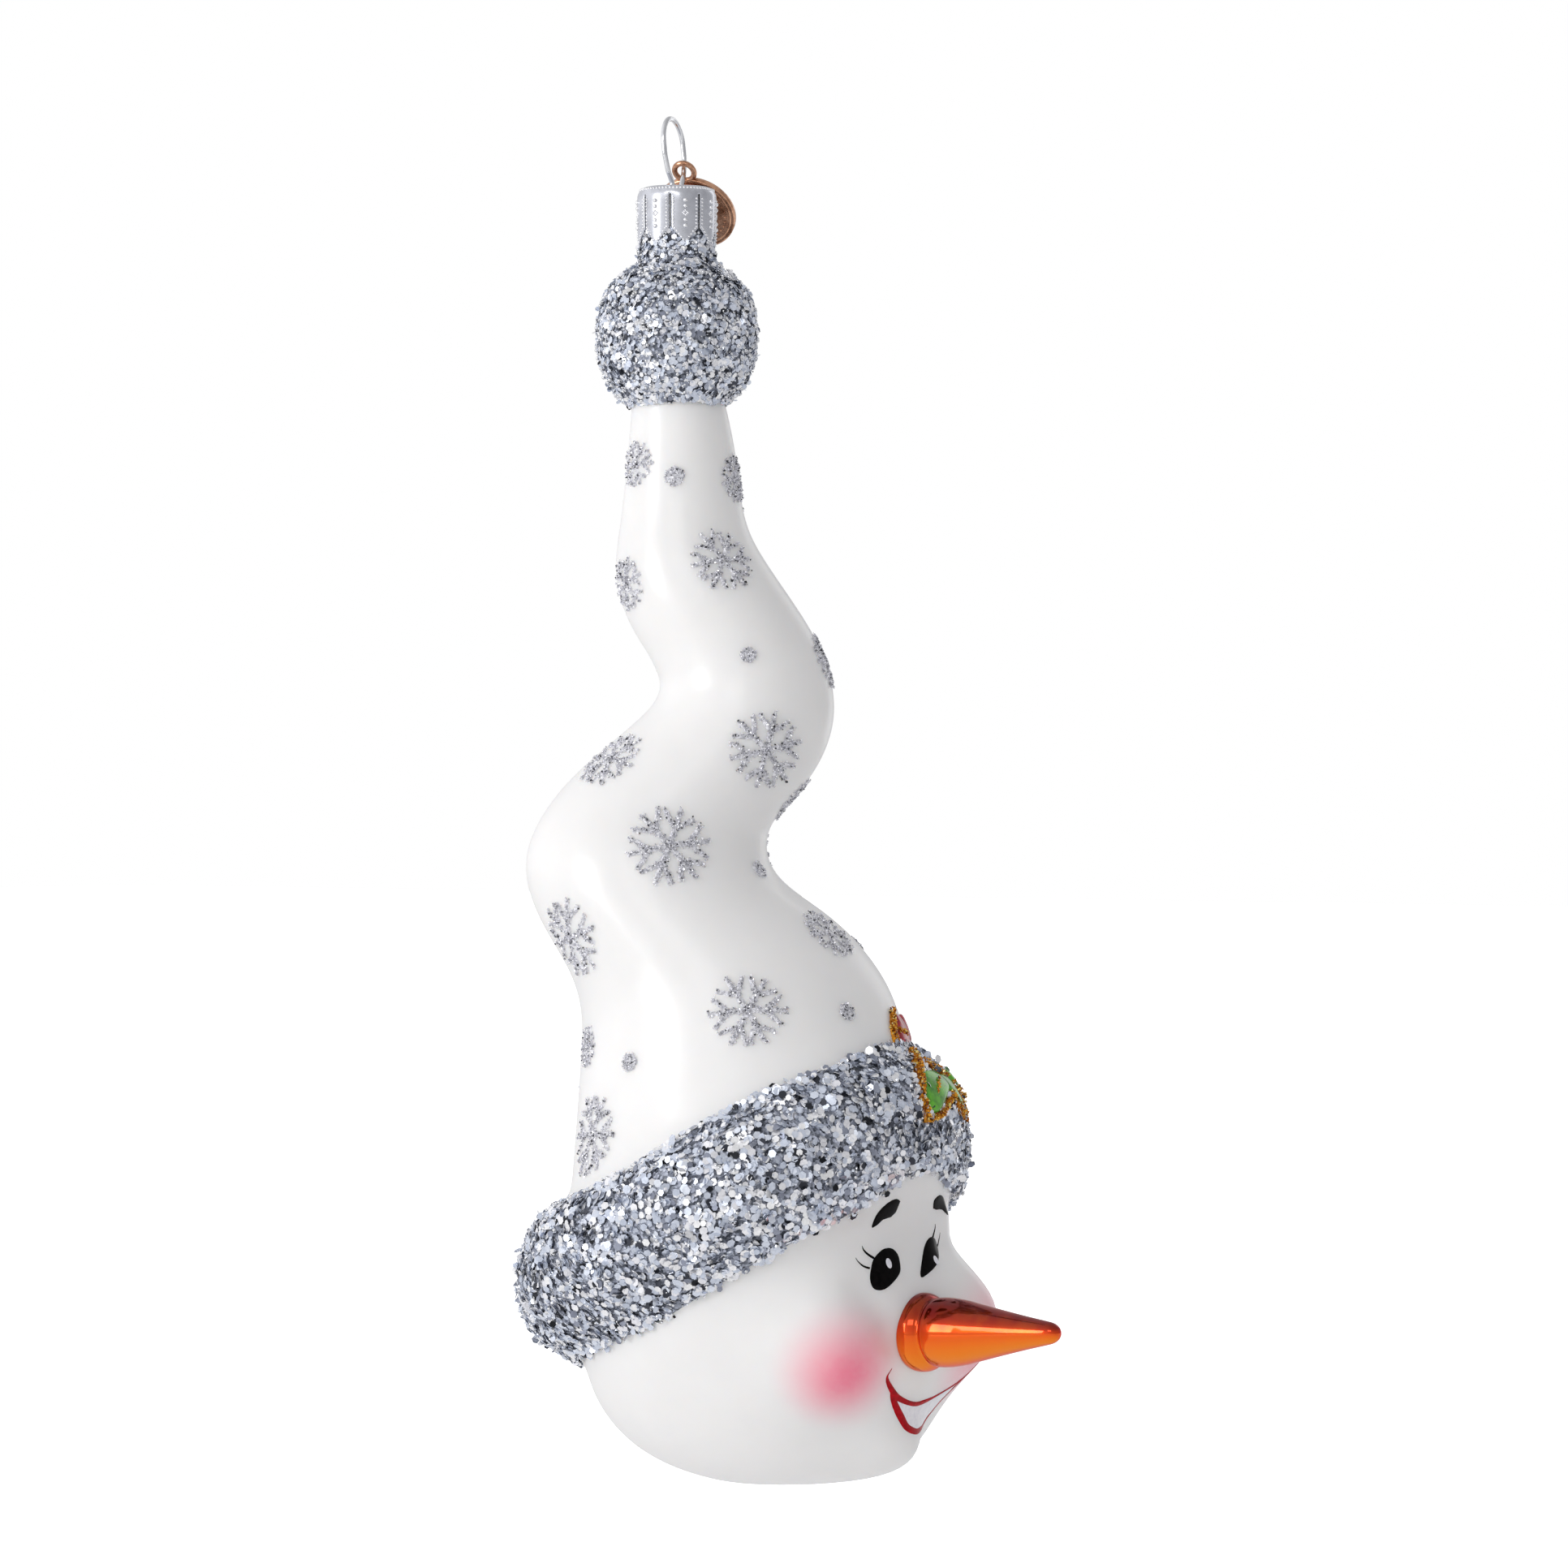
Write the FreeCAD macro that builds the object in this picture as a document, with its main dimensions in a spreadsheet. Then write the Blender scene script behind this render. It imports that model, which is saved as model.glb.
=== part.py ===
import FreeCAD, Part
import Sketcher
import math
import os

# Blown-glass snowman ornament, hung by a sprung wire loop.
# Millimetres. +Z up, the face looks along -Y. The origin is the point the
# ornament hangs from: the inside of the wire loop, at its top.

V3 = FreeCAD.Vector
doc = FreeCAD.newDocument("snowman_ornament")

# ---------------------------------------------------------------- dimensions
sheet = doc.addObject("Spreadsheet::Sheet", "Parameters")
PARAMS = [
    ("neck_x", 0.252), ("neck_y", -0.823),
    ("loop_turn", 17.05), ("loop_lean", 0.86),
    ("wire_d", 0.75), ("loop_r", 3.8), ("leg_gap", 1.85), ("leg_end_gap", 3.80),
    ("leg_straight", 18.0), ("leg_end", 29.5),
    ("cap_top", 9.8), ("cap_r", 5.75), ("cap_low_r", 5.62), ("cap_wall", 0.32),
    ("cap_corner", 1.4), ("cap_low", 18.5), ("cap_mid", 14.6),
    ("slit_top", 11.3), ("slit_low", 16.2), ("slit_half", 0.2), ("petal_half", 2.32),
    ("petals", 8), ("leg_hole_r", 0.455), ("cap_turn", -16.0),
    ("tag_r", 6.1), ("tag_rim", 0.55), ("tag_web", 0.8), ("tag_thick", 1.0),
    ("tag_eye_r", 1.5), ("tag_eye_wire", 0.42), ("tag_tilt", 40.5),
    ("tag_eye_x", 3.45), ("tag_eye_z", 7.1), ("tag_reach", 7.3),
    ("glass_wall", 0.95), ("coat_bobble", 0.65), ("coat_cuff", 0.95), ("bond", 0.06),
    ("relief", 0.32), ("paint", 0.14),
    ("nose_len", 24.4), ("nose_rim_r", 5.65), ("nose_wall", 0.75), ("nose_pitch", 3.0),
    ("nose_tip_r", 1.35),
]
for i, (name, value) in enumerate(PARAMS):
    sheet.set("A%d" % (i + 1), name)
    sheet.set("B%d" % (i + 1), str(value))
    sheet.setAlias("B%d" % (i + 1), name)
doc.recompute()


def P(name):
    return float(sheet.get(name))


NX, NY = P("neck_x"), P("neck_y")
PARTS = []


def keep(obj, name):
    obj.Label = name
    PARTS.append(obj)
    return obj


def feature(name, shape, placement=None):
    o = doc.addObject("Part::Feature", name)
    o.Shape = shape
    o.Placement = placement or FreeCAD.Placement()
    return keep(o, name)


def plane(body, role):
    for f in body.Origin.OriginFeatures:
        if f.Role == role:
            return f


def sketch(body, name, role, loops):
    """Closed loops of corners (x expression, y expression). Every corner is
    placed by two dimensions bound to the sheet."""
    s = body.newObject("Sketcher::SketchObject", name)
    s.AttachmentSupport = [(plane(body, role), "")]
    s.MapMode = "FlatFace"

    def val(e):
        t = e
        for n, v in sorted(PARAMS, key=lambda q: -len(q[0])):
            t = t.replace("Parameters." + n, "(%r)" % float(v))
        return calc(t)
    for pts in loops:
        base = len(s.Geometry)
        xy = [(val(a), val(b)) for a, b in pts]
        n = len(xy)
        for i in range(n):
            a, b = xy[i], xy[(i + 1) % n]
            s.addGeometry(Part.LineSegment(V3(a[0], a[1], 0), V3(b[0], b[1], 0)))
        for i in range(n):
            s.addConstraint(Sketcher.Constraint("Coincident", base + i, 2, base + (i + 1) % n, 1))
        for i in range(n):
            for kind, k in (("DistanceX", 0), ("DistanceY", 1)):
                c = s.addConstraint(Sketcher.Constraint(kind, -1, 1, base + i, 1, xy[i][k]))
                if "Parameters." in pts[i][k]:
                    s.setExpression("Constraints[%d]" % c, pts[i][k])
    return s


def calc(text):
    """A small evaluator for + - * / and brackets, used for the sketch's first
    position before the bound dimensions take over."""
    toks, num = [], ""
    for ch in text.replace(" ", ""):
        if ch.isdigit() or ch == "." or (ch in "eE" and num):
            num += ch
        else:
            if num:
                toks.append(float(num))
                num = ""
            toks.append(ch)
    if num:
        toks.append(float(num))
    pos = [0]

    def atom():
        t = toks[pos[0]]
        pos[0] += 1
        if t == "(":
            v = total()
            pos[0] += 1
            return v
        if t == "-":
            return -atom()
        return t

    def product():
        v = atom()
        while pos[0] < len(toks) and toks[pos[0]] in ("*", "/"):
            op = toks[pos[0]]
            pos[0] += 1
            w = atom()
            v = v * w if op == "*" else v / w
        return v

    def total():
        v = product()
        while pos[0] < len(toks) and toks[pos[0]] in ("+", "-"):
            op = toks[pos[0]]
            pos[0] += 1
            w = product()
            v = v + w if op == "+" else v - w
        return v
    return total()


# ---------------------------------------------------------------- wire loop
# Two springy legs and a teardrop loop, one round wire. The path is straight
# runs joined by tangent arcs. It lies in a vertical plane turned by loop_turn,
# and the loop above the cap leans out of that plane a little.
TURN = math.radians(P("loop_turn"))
LX = V3(math.cos(TURN), math.sin(TURN), 0)
LY = V3(-math.sin(TURN), math.cos(TURN), 0)


def loop_point(a, z):
    lean = P("loop_lean") * max(0.0, (z + 9.3) / 9.3)
    return V3(NX, NY, 0) + LX * a + LY * lean + V3(0, 0, z)


R0 = P("loop_r")
W = P("wire_d") / 2
TOP = W
half = [(R0 * 0.4142, TOP, 3.55), (R0, TOP - R0 * 0.5858, 3.55), (R0, -5.15, 2.6), (3.15, -7.45, 2.2),
        (P("leg_gap"), -9.2, 0.9), (P("leg_gap"), -P("leg_straight"), 9.0), (P("leg_end_gap"), -P("leg_end"), 0)]
corners = [(-a, z, r) for a, z, r in reversed(half)] + half
pts = [loop_point(a, z) for a, z, r in corners]
edges = []
last = pts[0]
for i in range(1, len(pts) - 1):
    a = (pts[i - 1] - pts[i]).normalize()
    b = (pts[i + 1] - pts[i]).normalize()
    turn = math.pi - a.getAngle(b)
    t = corners[i][2] * math.tan(turn / 2)
    p1, p2 = pts[i] + a * t, pts[i] + b * t
    bis = (a + b).normalize()
    mid = pts[i] + bis * (corners[i][2] / math.cos(turn / 2) - corners[i][2])
    if (p1 - last).Length > 1e-6:
        edges.append(Part.LineSegment(last, p1).toShape())
    edges.append(Part.Arc(p1, mid, p2).toShape())
    last = p2
edges.append(Part.LineSegment(last, pts[-1]).toShape())
path = Part.Wire(edges)
start = (edges[0].Vertexes[1].Point - edges[0].Vertexes[0].Point)
ring = Part.Wire(Part.Circle(pts[0], pts[1] - pts[0], W).toShape())
wire = path.makePipeShell([ring], True, False)
print("hanger_wire volume / (section x length) = %.4f" % (wire.Volume / (math.pi * W * W * path.Length)))
feature("hanger_wire", wire)

# ---------------------------------------------------------------- cap
# Thin pressed cap: flat top with a rounded shoulder, eight petals with slits
# between them and pointed tips, and two holes for the wire's legs.
S = "Parameters."
cap = doc.addObject("PartDesign::Body", "cap")
prof = sketch(cap, "cap_profile", "XZ_Plane", [[
    ("0", "-" + S + "cap_top"),
    (S + "cap_r-" + S + "cap_corner", "-" + S + "cap_top"),
    (S + "cap_r-" + S + "cap_corner*0.617", "-" + S + "cap_top-" + S + "cap_corner*0.076"),
    (S + "cap_r-" + S + "cap_corner*0.293", "-" + S + "cap_top-" + S + "cap_corner*0.293"),
    (S + "cap_r-" + S + "cap_corner*0.076", "-" + S + "cap_top-" + S + "cap_corner*0.617"),
    (S + "cap_r", "-" + S + "cap_top-" + S + "cap_corner"),
    (S + "cap_r", "-" + S + "cap_mid"),
    (S + "cap_low_r", "-" + S + "cap_low"),
    (S + "cap_low_r-" + S + "cap_wall", "-" + S + "cap_low"),
    (S + "cap_r-" + S + "cap_wall", "-" + S + "cap_mid"),
    (S + "cap_r-" + S + "cap_wall", "-" + S + "cap_top-" + S + "cap_corner"),
    (S + "cap_r-" + S + "cap_wall-0.1", "-" + S + "cap_top-" + S + "cap_corner*0.617"),
    (S + "cap_r-" + S + "cap_corner*0.293-" + S + "cap_wall*0.707", "-" + S + "cap_top-" + S + "cap_corner*0.293-" + S + "cap_wall*0.707"),
    (S + "cap_r-" + S + "cap_corner*0.617-0.1", "-" + S + "cap_top-" + S + "cap_wall-0.08"),
    (S + "cap_r-" + S + "cap_corner", "-" + S + "cap_top-" + S + "cap_wall"),
    ("0", "-" + S + "cap_top-" + S + "cap_wall"),
]])
rev = cap.newObject("PartDesign::Revolution", "cap_shell")
rev.Profile = prof
rev.ReferenceAxis = (prof, ["V_Axis"])
rev.Angle = 360
doc.recompute()
v0 = cap.Shape.Volume
slit = sketch(cap, "cap_slit", "XZ_Plane", [[
    ("-" + S + "slit_half", "-" + S + "slit_top"),
    (S + "slit_half", "-" + S + "slit_top"),
    (S + "slit_half*1.2", "-" + S + "slit_low"),
    (S + "petal_half", "-" + S + "cap_low-0.05"),
    ("-" + S + "petal_half", "-" + S + "cap_low-0.05"),
    ("-" + S + "slit_half*1.2", "-" + S + "slit_low"),
]])
cut = cap.newObject("PartDesign::Pocket", "cap_slits_first")
cut.Profile = slit
cut.Length = 12
cut.Type = 0
cap.Tip = cut
doc.recompute()
v1 = cap.Shape.Volume
if v1 > v0 - 0.05:
    cut.Reversed = True
    doc.recompute()
    v1 = cap.Shape.Volume
pat = cap.newObject("PartDesign::PolarPattern", "cap_slits")
pat.Originals = [cut]
pat.Axis = (plane(cap, "Z_Axis"), [""])
pat.Angle = 360
pat.setExpression("Occurrences", S + "petals")
cap.Tip = pat
doc.recompute()
v2 = cap.Shape.Volume
HT = TURN - math.radians(P("cap_turn"))
ca, sa = math.cos(HT), math.sin(HT)
holes = cap.newObject("Sketcher::SketchObject", "cap_leg_holes")
holes.AttachmentSupport = [(plane(cap, "XY_Plane"), "")]
holes.MapMode = "FlatFace"
for k, sgn in enumerate((1, -1)):
    cx, cy = sgn * P("leg_gap") * ca, sgn * P("leg_gap") * sa
    holes.addGeometry(Part.Circle(V3(cx, cy, 0), V3(0, 0, 1), P("leg_hole_r")))
    c = holes.addConstraint(Sketcher.Constraint("Radius", k, P("leg_hole_r")))
    holes.setExpression("Constraints[%d]" % c, S + "leg_hole_r")
    holes.addConstraint(Sketcher.Constraint("DistanceX", -1, 1, k, 3, cx))
    holes.addConstraint(Sketcher.Constraint("DistanceY", -1, 1, k, 3, cy))
bore = cap.newObject("PartDesign::Pocket", "cap_leg_bores")
bore.Profile = holes
bore.Type = 0
bore.Length = 14
cap.Tip = bore
doc.recompute()
if cap.Shape.Volume > v2 - 0.02:
    bore.Reversed = True
    doc.recompute()
print("cap volumes", v0, v1, v2, cap.Shape.Volume)
cap.Placement = FreeCAD.Placement(V3(NX, NY, 0), FreeCAD.Rotation(V3(0, 0, 1), P("cap_turn")))
keep(cap, "cap")

# ---------------------------------------------------------------- medal
# Cast disc with a raised rim and an eye in one with it. Built about its eye:
# local +Z is the eye's hole, local +X points from the eye to the disc's middle.
tag = doc.addObject("PartDesign::Body", "tag")
rw = P("tag_reach")
sec = [("0", S + "tag_web/2"), (S + "tag_r-" + S + "tag_rim-0.15", S + "tag_web/2"), (S + "tag_r-" + S + "tag_rim", S + "tag_thick/2"),
       (S + "tag_r-0.12", S + "tag_thick/2"), (S + "tag_r", S + "tag_thick/2-0.12"),
       (S + "tag_r", "-" + S + "tag_thick/2+0.12"), (S + "tag_r-0.12", "-" + S + "tag_thick/2"),
       (S + "tag_r-" + S + "tag_rim", "-" + S + "tag_thick/2"), (S + "tag_r-" + S + "tag_rim-0.15", "-" + S + "tag_web/2"),
       ("0", "-" + S + "tag_web/2")]
disc = sketch(tag, "tag_section", "XZ_Plane", [sec])
drev = tag.newObject("PartDesign::Revolution", "tag_disc")
drev.Profile = disc
drev.ReferenceAxis = (disc, ["V_Axis"])
drev.Angle = 360
doc.recompute()
eye = tag.newObject("PartDesign::AdditiveTorus", "tag_eye")
eye.Radius1 = P("tag_eye_r")
eye.Radius2 = P("tag_eye_wire")
eye.setExpression("Radius1", S + "tag_eye_r")
eye.setExpression("Radius2", S + "tag_eye_wire")
eye.AttachmentSupport = [(plane(tag, "XY_Plane"), "")]
eye.MapMode = "FlatFace"
eye.AttachmentOffset = FreeCAD.Placement(V3(-rw, 0, 0), FreeCAD.Rotation())
eye.setExpression("AttachmentOffset.Base.x", "-" + S + "tag_reach")
tag.Tip = eye
doc.recompute()
TT = math.radians(P("tag_tilt"))
eye_c = V3(NX, NY, 0) + LX * P("tag_eye_x") + LY * (P("loop_lean") * (9.3 - P("tag_eye_z")) / 9.3) + V3(0, 0, -P("tag_eye_z"))
tdir = LX * math.sin(TT) + V3(0, 0, -math.cos(TT))
tnor = LX * math.cos(TT) + V3(0, 0, math.sin(TT))
tlat = tnor.cross(tdir)
tag.Placement = FreeCAD.Placement(eye_c + tdir * P("tag_reach"), FreeCAD.Rotation(tdir, tlat, tnor, "ZXY"))
print("tag hinge at", [round(c, 4) for c in eye_c], "axis", [round(c, 5) for c in (LY * -1)])
keep(tag, "tag")

# ---------------------------------------------------------------- the figure's skin
# The whole blown figure is one smooth skin: rings of control points from the
# neck's rim, round the bobble, down the S-shaped hat, over its rolled band and
# round the head, with soft swellings for the cheeks, the nose's seat and the
# chin. U runs to the right and W away in a turned frame; Z is up.
NR = 48
YAW = math.radians(-52.0)
RU = (math.cos(YAW), math.sin(YAW))
RW = (-math.sin(YAW), math.cos(YAW))


def place(u, w, z):
    return (u * RU[0] + w * RW[0] + NX, u * RU[1] + w * RW[1] + NY, z)


# neck and bobble: radius, height
NECK = [
    (4.95, -10.7),
    (5.15, -11.6),
    (5.12, -13.4),
    (5, -15.6),
    (4.9, -17.8),
    (4.86, -19.6),
    (5, -21),
    (5.9, -22.2),
    (8.2, -23.6),
    (10.1, -25.8),
    (11, -28.8),
    (11.15, -32.1),
    (10.85, -35.4),
    (9.8, -38.2),
    (8.2, -40.2),
    (6.95, -41.6),
]
# rings: two ends of the ring's wide axis (u, z of each), depth of its middle,
# droop of the ring towards the back in degrees, depth over width
RINGS = [
    (-6.6, -42.42, 7.2, -41.94, 0, 0, 1),
    (-7.09, -46.84, 8.16, -46.12, 0.3, 0, 1),
    (-7.57, -52.23, 9, -51.15, 0.5, 0, 1),
    (-8.18, -58.23, 9.48, -56.19, 0.6, 0, 1),
    (-9.25, -64.84, 10.44, -60.28, 0.4, 0, 1),
    (-8.88, -69.66, 12.12, -63.66, 0, 0, 1),
    (-6.95, -74.71, 15.36, -68.47, -0.4, 0, 1),
    (-4.18, -78.8, 19.2, -74, -0.8, 0, 0.98),
    (-2.62, -81.92, 21.83, -79.04, -1.1, 0, 0.96),
    (-2.37, -84.32, 23.27, -84.08, -1.4, 0, 0.95),
    (-3.8, -86.72, 23.38, -88.88, -1.7, 0, 0.94),
    (-6.9, -89.6, 21.83, -93.67, -2.1, 0, 0.93),
    (-11.08, -93.07, 19.43, -97.62, -2.5, 0, 0.92),
    (-15.61, -97.02, 16.32, -100.85, -2.9, 0, 0.92),
    (-19.54, -101.81, 13.69, -104.08, -3.3, 0, 0.93),
    (-22.03, -106.82, 13.09, -107.3, -3.7, 0, 0.95),
    (-22.37, -111.36, 14.05, -110.64, -4.1, 0, 0.96),
    (-21.16, -115.77, 16.91, -113.5, -4.5, 0, 0.96),
    (-19, -119.93, 21.33, -116.35, -4.9, 0, 0.96),
    (-16.6, -123.74, 25.62, -119.92, -5.3, 0, 0.97),
    (-14.67, -127.66, 29.07, -124.08, -5.7, 1, 0.98),
    (-13.71, -132.41, 31.33, -127.76, -6.1, 2, 1),
    (-14.05, -138.35, 32.51, -130.97, -6.5, 4, 1),
    (-14.39, -144.28, 33.34, -133.21, -6.9, 6, 1),
    (-14.86, -150.21, 34.04, -135.1, -7.2, 8, 1),
    (-15.2, -154.95, 34.63, -136.75, -7.5, 9, 1),
    (-15.44, -157.68, 35.23, -137.7, -7.6, 9.4, 1),
    (-16.5, -159.58, 36.53, -139.12, -7.7, 9.4, 1),
    (-19.12, -162.19, 38.91, -141.03, -7.7, 9.4, 1),
    (-21.5, -165.64, 40.93, -143.88, -7.7, 9.4, 1),
    (-22.45, -169.8, 41.88, -147.8, -7.7, 9.4, 1),
    (-22.21, -173.97, 42.12, -151.97, -7.7, 9.4, 1),
    (-20.67, -177.65, 41.76, -155.53, -7.7, 9.4, 1),
    (-17.22, -180.27, 40.81, -158.03, -7.7, 9.4, 1),
    (-14.36, -181.69, 40.1, -159.58, -7.7, 9.4, 1),
    (-13.17, -183.84, 40.1, -161.72, -7.7, 9.4, 1),
    (-12.46, -186.45, 40.34, -166.24, -7.7, 9.4, 1),
    (-11.03, -189.42, 40.57, -172.42, -7.7, 9, 1),
    (-8.66, -192.63, 40.34, -179.55, -7.7, 8, 1),
    (-5.09, -195.73, 38.91, -186.21, -7.7, 7, 1),
    (-0.57, -198.1, 37.24, -191.68, -7.7, 6, 1),
    (4.66, -199.77, 33.91, -196.56, -7.7, 5, 1),
    (10.13, -200.72, 29.16, -199.29, -7.7, 4, 1),
    (18.09, -200.6, 19.29, -200.6, -7.7, 0, 1),
]
# swellings: middle, direction, height, spread
SWELL = [
    ((22.06, -33.88, -179.3), (0.422, -0.905, -0.05), 7.6, 6.3),
    ((38.27, -13.13, -175.6), (0.982, -0.191, 0.0), 9.4, 6.5),
    ((32.65, -25.45, -176.5), (0.788, -0.616, 0.0), 3, 5),
    ((29.89, -23.3, -193.6), (0.755, -0.59, -0.287), 3.2, 4),
    ((32.94, -21.51, -200.0), (0.832, -0.5, -0.243), 7.4, 5),
    ((33.44, -26.07, -163.0), (0.788, -0.616, 0.0), -0.9, 3.2),
    ((40.63, -10.84, -164.8), (0.995, -0.105, 0.0), -3.9, 3.3),
]


def swell(p):
    q = list(p)
    for c, d, a, sp in SWELL:
        g = a * math.exp(-0.5 * sum((p[i] - c[i]) ** 2 for i in range(3)) / (sp * sp))
        for i in range(3):
            q[i] += g * d[i]
    return q


def ring_points():
    rows = []
    for r, z in NECK:
        rows.append([(r * math.cos(2 * math.pi * k / NR), r * math.sin(2 * math.pi * k / NR), z) for k in range(NR)])
    for u0, z0, u1, z1, w, droop, ratio in RINGS:
        c = ((u0 + u1) / 2, w, (z0 + z1) / 2)
        e1 = ((u1 - u0) / 2, 0.0, (z1 - z0) / 2)
        b = math.hypot(e1[0], e1[2]) * ratio
        cd, sd = math.cos(math.radians(droop)), math.sin(math.radians(droop))
        e2 = (0.0, b * cd, -b * sd)
        rows.append([tuple(c[i] + math.cos(2 * math.pi * k / NR) * e1[i] + math.sin(2 * math.pi * k / NR) * e2[i]
                           for i in range(3)) for k in range(NR)])
    return [[place(*swell(p)) for p in row] for row in rows]


GRID = ring_points()
NV = len(GRID)


def sub(a, b):
    return (a[0] - b[0], a[1] - b[1], a[2] - b[2])


def cross(a, b):
    return (a[1] * b[2] - a[2] * b[1], a[2] * b[0] - a[0] * b[2], a[0] * b[1] - a[1] * b[0])


def unit(a):
    n = math.sqrt(sum(c * c for c in a)) or 1.0
    return tuple(c / n for c in a)


def knot_row(nv):
    return [0.0] * 3 + [float(i) for i in range(nv - 2)] + [float(nv - 3)] * 3


KV = knot_row(NV)
VMAX = float(NV - 3)


def span_basis(v, deg=3):
    v = min(max(v, 0.0), VMAX - 1e-9)
    k = 3 + int(v)
    b = [1.0]
    for d in range(1, deg + 1):
        nb = [0.0] * (d + 1)
        for j in range(d):
            i = k - d + 1 + j
            den = KV[i + d] - KV[i]
            t = (v - KV[i]) / den if den else 0.0
            nb[j] += b[j] * (1 - t)
            nb[j + 1] += b[j] * t
        b = nb
    return k - 3, b


def skin(u, v):
    """Point of the outer skin. u in turns 0..1, v in knot units 0..VMAX."""
    f = (u % 1.0) * NR
    j = int(math.floor(f))
    t = f - j
    bu = ((1 - t) ** 3 / 6, (3 * t ** 3 - 6 * t * t + 4) / 6, (-3 * t ** 3 + 3 * t * t + 3 * t + 1) / 6, t ** 3 / 6)
    k, bv = span_basis(v)
    p = [0.0, 0.0, 0.0]
    for a in range(4):
        row = GRID[k + a]
        for b in range(4):
            g = row[(j - 1 + b) % NR]
            w = bv[a] * bu[b]
            for i in range(3):
                p[i] += w * g[i]
    return tuple(p)


def skin_frame(u, v):
    e = 1e-3
    v = min(max(v, e), VMAX - e)
    p = skin(u, v)
    du = sub(skin(u + e / 10, v), skin(u - e / 10, v))
    dv = sub(skin(u, v + e), skin(u, v - e))
    n = unit(cross(dv, du))
    return p, du, dv, n


def grid_normals(rows):
    nv = len(rows)
    out = []
    for i in range(nv):
        r = []
        for k in range(NR):
            du = sub(rows[i][(k + 1) % NR], rows[i][k - 1])
            dv = sub(rows[min(i + 1, nv - 1)][k], rows[max(i - 1, 0)][k])
            r.append(unit(cross(dv, du)))
        out.append(r)
    return out


NORM = grid_normals(GRID)
mid = GRID[12][0]
cen = tuple(sum(GRID[12][k][i] for k in range(NR)) / NR for i in range(3))
SIDE = 1.0 if sum((mid[i] - cen[i]) * NORM[12][0][i] for i in range(3)) > 0 else -1.0


def moved(i, k, d):
    return tuple(GRID[i][k][c] + SIDE * NORM[i][k][c] * d for c in range(3))


def surface(rows):
    nv = len(rows)
    poles = [[V3(*rows[i][k]) for i in range(nv)] for k in range(NR)]
    s = Part.BSplineSurface()
    s.buildFromPolesMultsKnots(poles, [1] * (NR + 1), [4] + [1] * (nv - 4) + [4],
                               [float(i) for i in range(NR + 1)], [float(i) for i in range(nv - 2)],
                               True, False, 3, 3)
    return s


def closed_solid(outer, inner):
    """Solid between two tubes of control rings; the ends are closed by strips
    that join matching rings, or by caps where a tube has none to match."""
    fo, fi = surface(outer).toShape(), surface(inner).toShape()
    faces = [fo, fi]
    ends = []
    for which in (0, -1):
        ends.append((iso(outer, which), iso(inner, which)))
    for a, b in ends:
        faces.append(Part.makeRuledSurface(a, b))
    return faces


def iso(rows, which):
    s = surface(rows)
    b = s.bounds()
    c = s.vIso(b[2] if which == 0 else b[3])
    return c.toShape()


def solid_of(faces, tol=1e-4):
    sh = Part.makeShell([f for f in faces])
    try:
        sh.sewShape()
    except Exception:
        pass
    if sh.ShapeType != "Shell":
        sh = sh.Shells[0]
    so = Part.makeSolid(sh)
    if so.Volume < 0:
        so.reverse()
    return so


# glass: outer skin, inner skin one wall inside it, a rolled rim at the neck
wall = P("glass_wall")
inner_rows = [[moved(i, k, -wall) for k in range(NR)] for i in range(NV)]
for k in range(NR):
    inner_rows[0][k] = (inner_rows[0][k][0], inner_rows[0][k][1], GRID[0][k][2])
outer_rows = [list(r) for r in GRID]
# the last ring is level, a small flat at the very bottom
faces = [surface(outer_rows).toShape(), surface(inner_rows).toShape(),
         Part.makeRuledSurface(iso(outer_rows, 0), iso(inner_rows, 0)),
         Part.makeFilledFace([iso(outer_rows, -1)]), Part.makeFilledFace([iso(inner_rows, -1)])]
glass = solid_of(faces)
print("glass", glass.ShapeType, glass.isValid(), glass.Volume)
feature("glass_figure", glass)

# ---------------------------------------------------------------- glitter coats


def between(table, u):
    """Value at u from a table of (turns, value), round the skin."""
    for (u0, a), (u1, b) in zip(table, table[1:]):
        if u0 <= u <= u1:
            return a + (b - a) * (u - u0) / max(u1 - u0, 1e-9)
    return table[-1][1]


def coat(name, i0, i1, thick, taper, high=None, low=None):
    """A coat over rings i0..i1: sunk by the bond, standing out by thick, and
    thinned over the first and last rings, or towards its edges high and low."""
    bond = P("bond")
    rows_in = [[moved(i, k, -bond) for k in range(NR)] for i in range(i0, i1 + 1)]
    rows_out = []
    for i in range(i0, i1 + 1):
        row = []
        for k in range(NR):
            if high is None:
                h = thick * (0.35 + 0.65 * min(1.0, min(i - i0, i1 - i) / float(taper)))
            else:
                u = k / float(NR)
                e = min(i - 1 - between(high, u), between(low, u) - (i - 1))
                h = thick * min(1.0, 0.35 + 0.65 * e / 1.3) if e > 0 else max(-0.02, thick * (0.35 + 0.7 * e))
            row.append(moved(i, k, h))
        rows_out.append(row)
    so = solid_of(closed_solid(rows_out, rows_in))
    print(name, so.ShapeType, so.isValid(), so.Volume)
    return feature(name, so)


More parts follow.
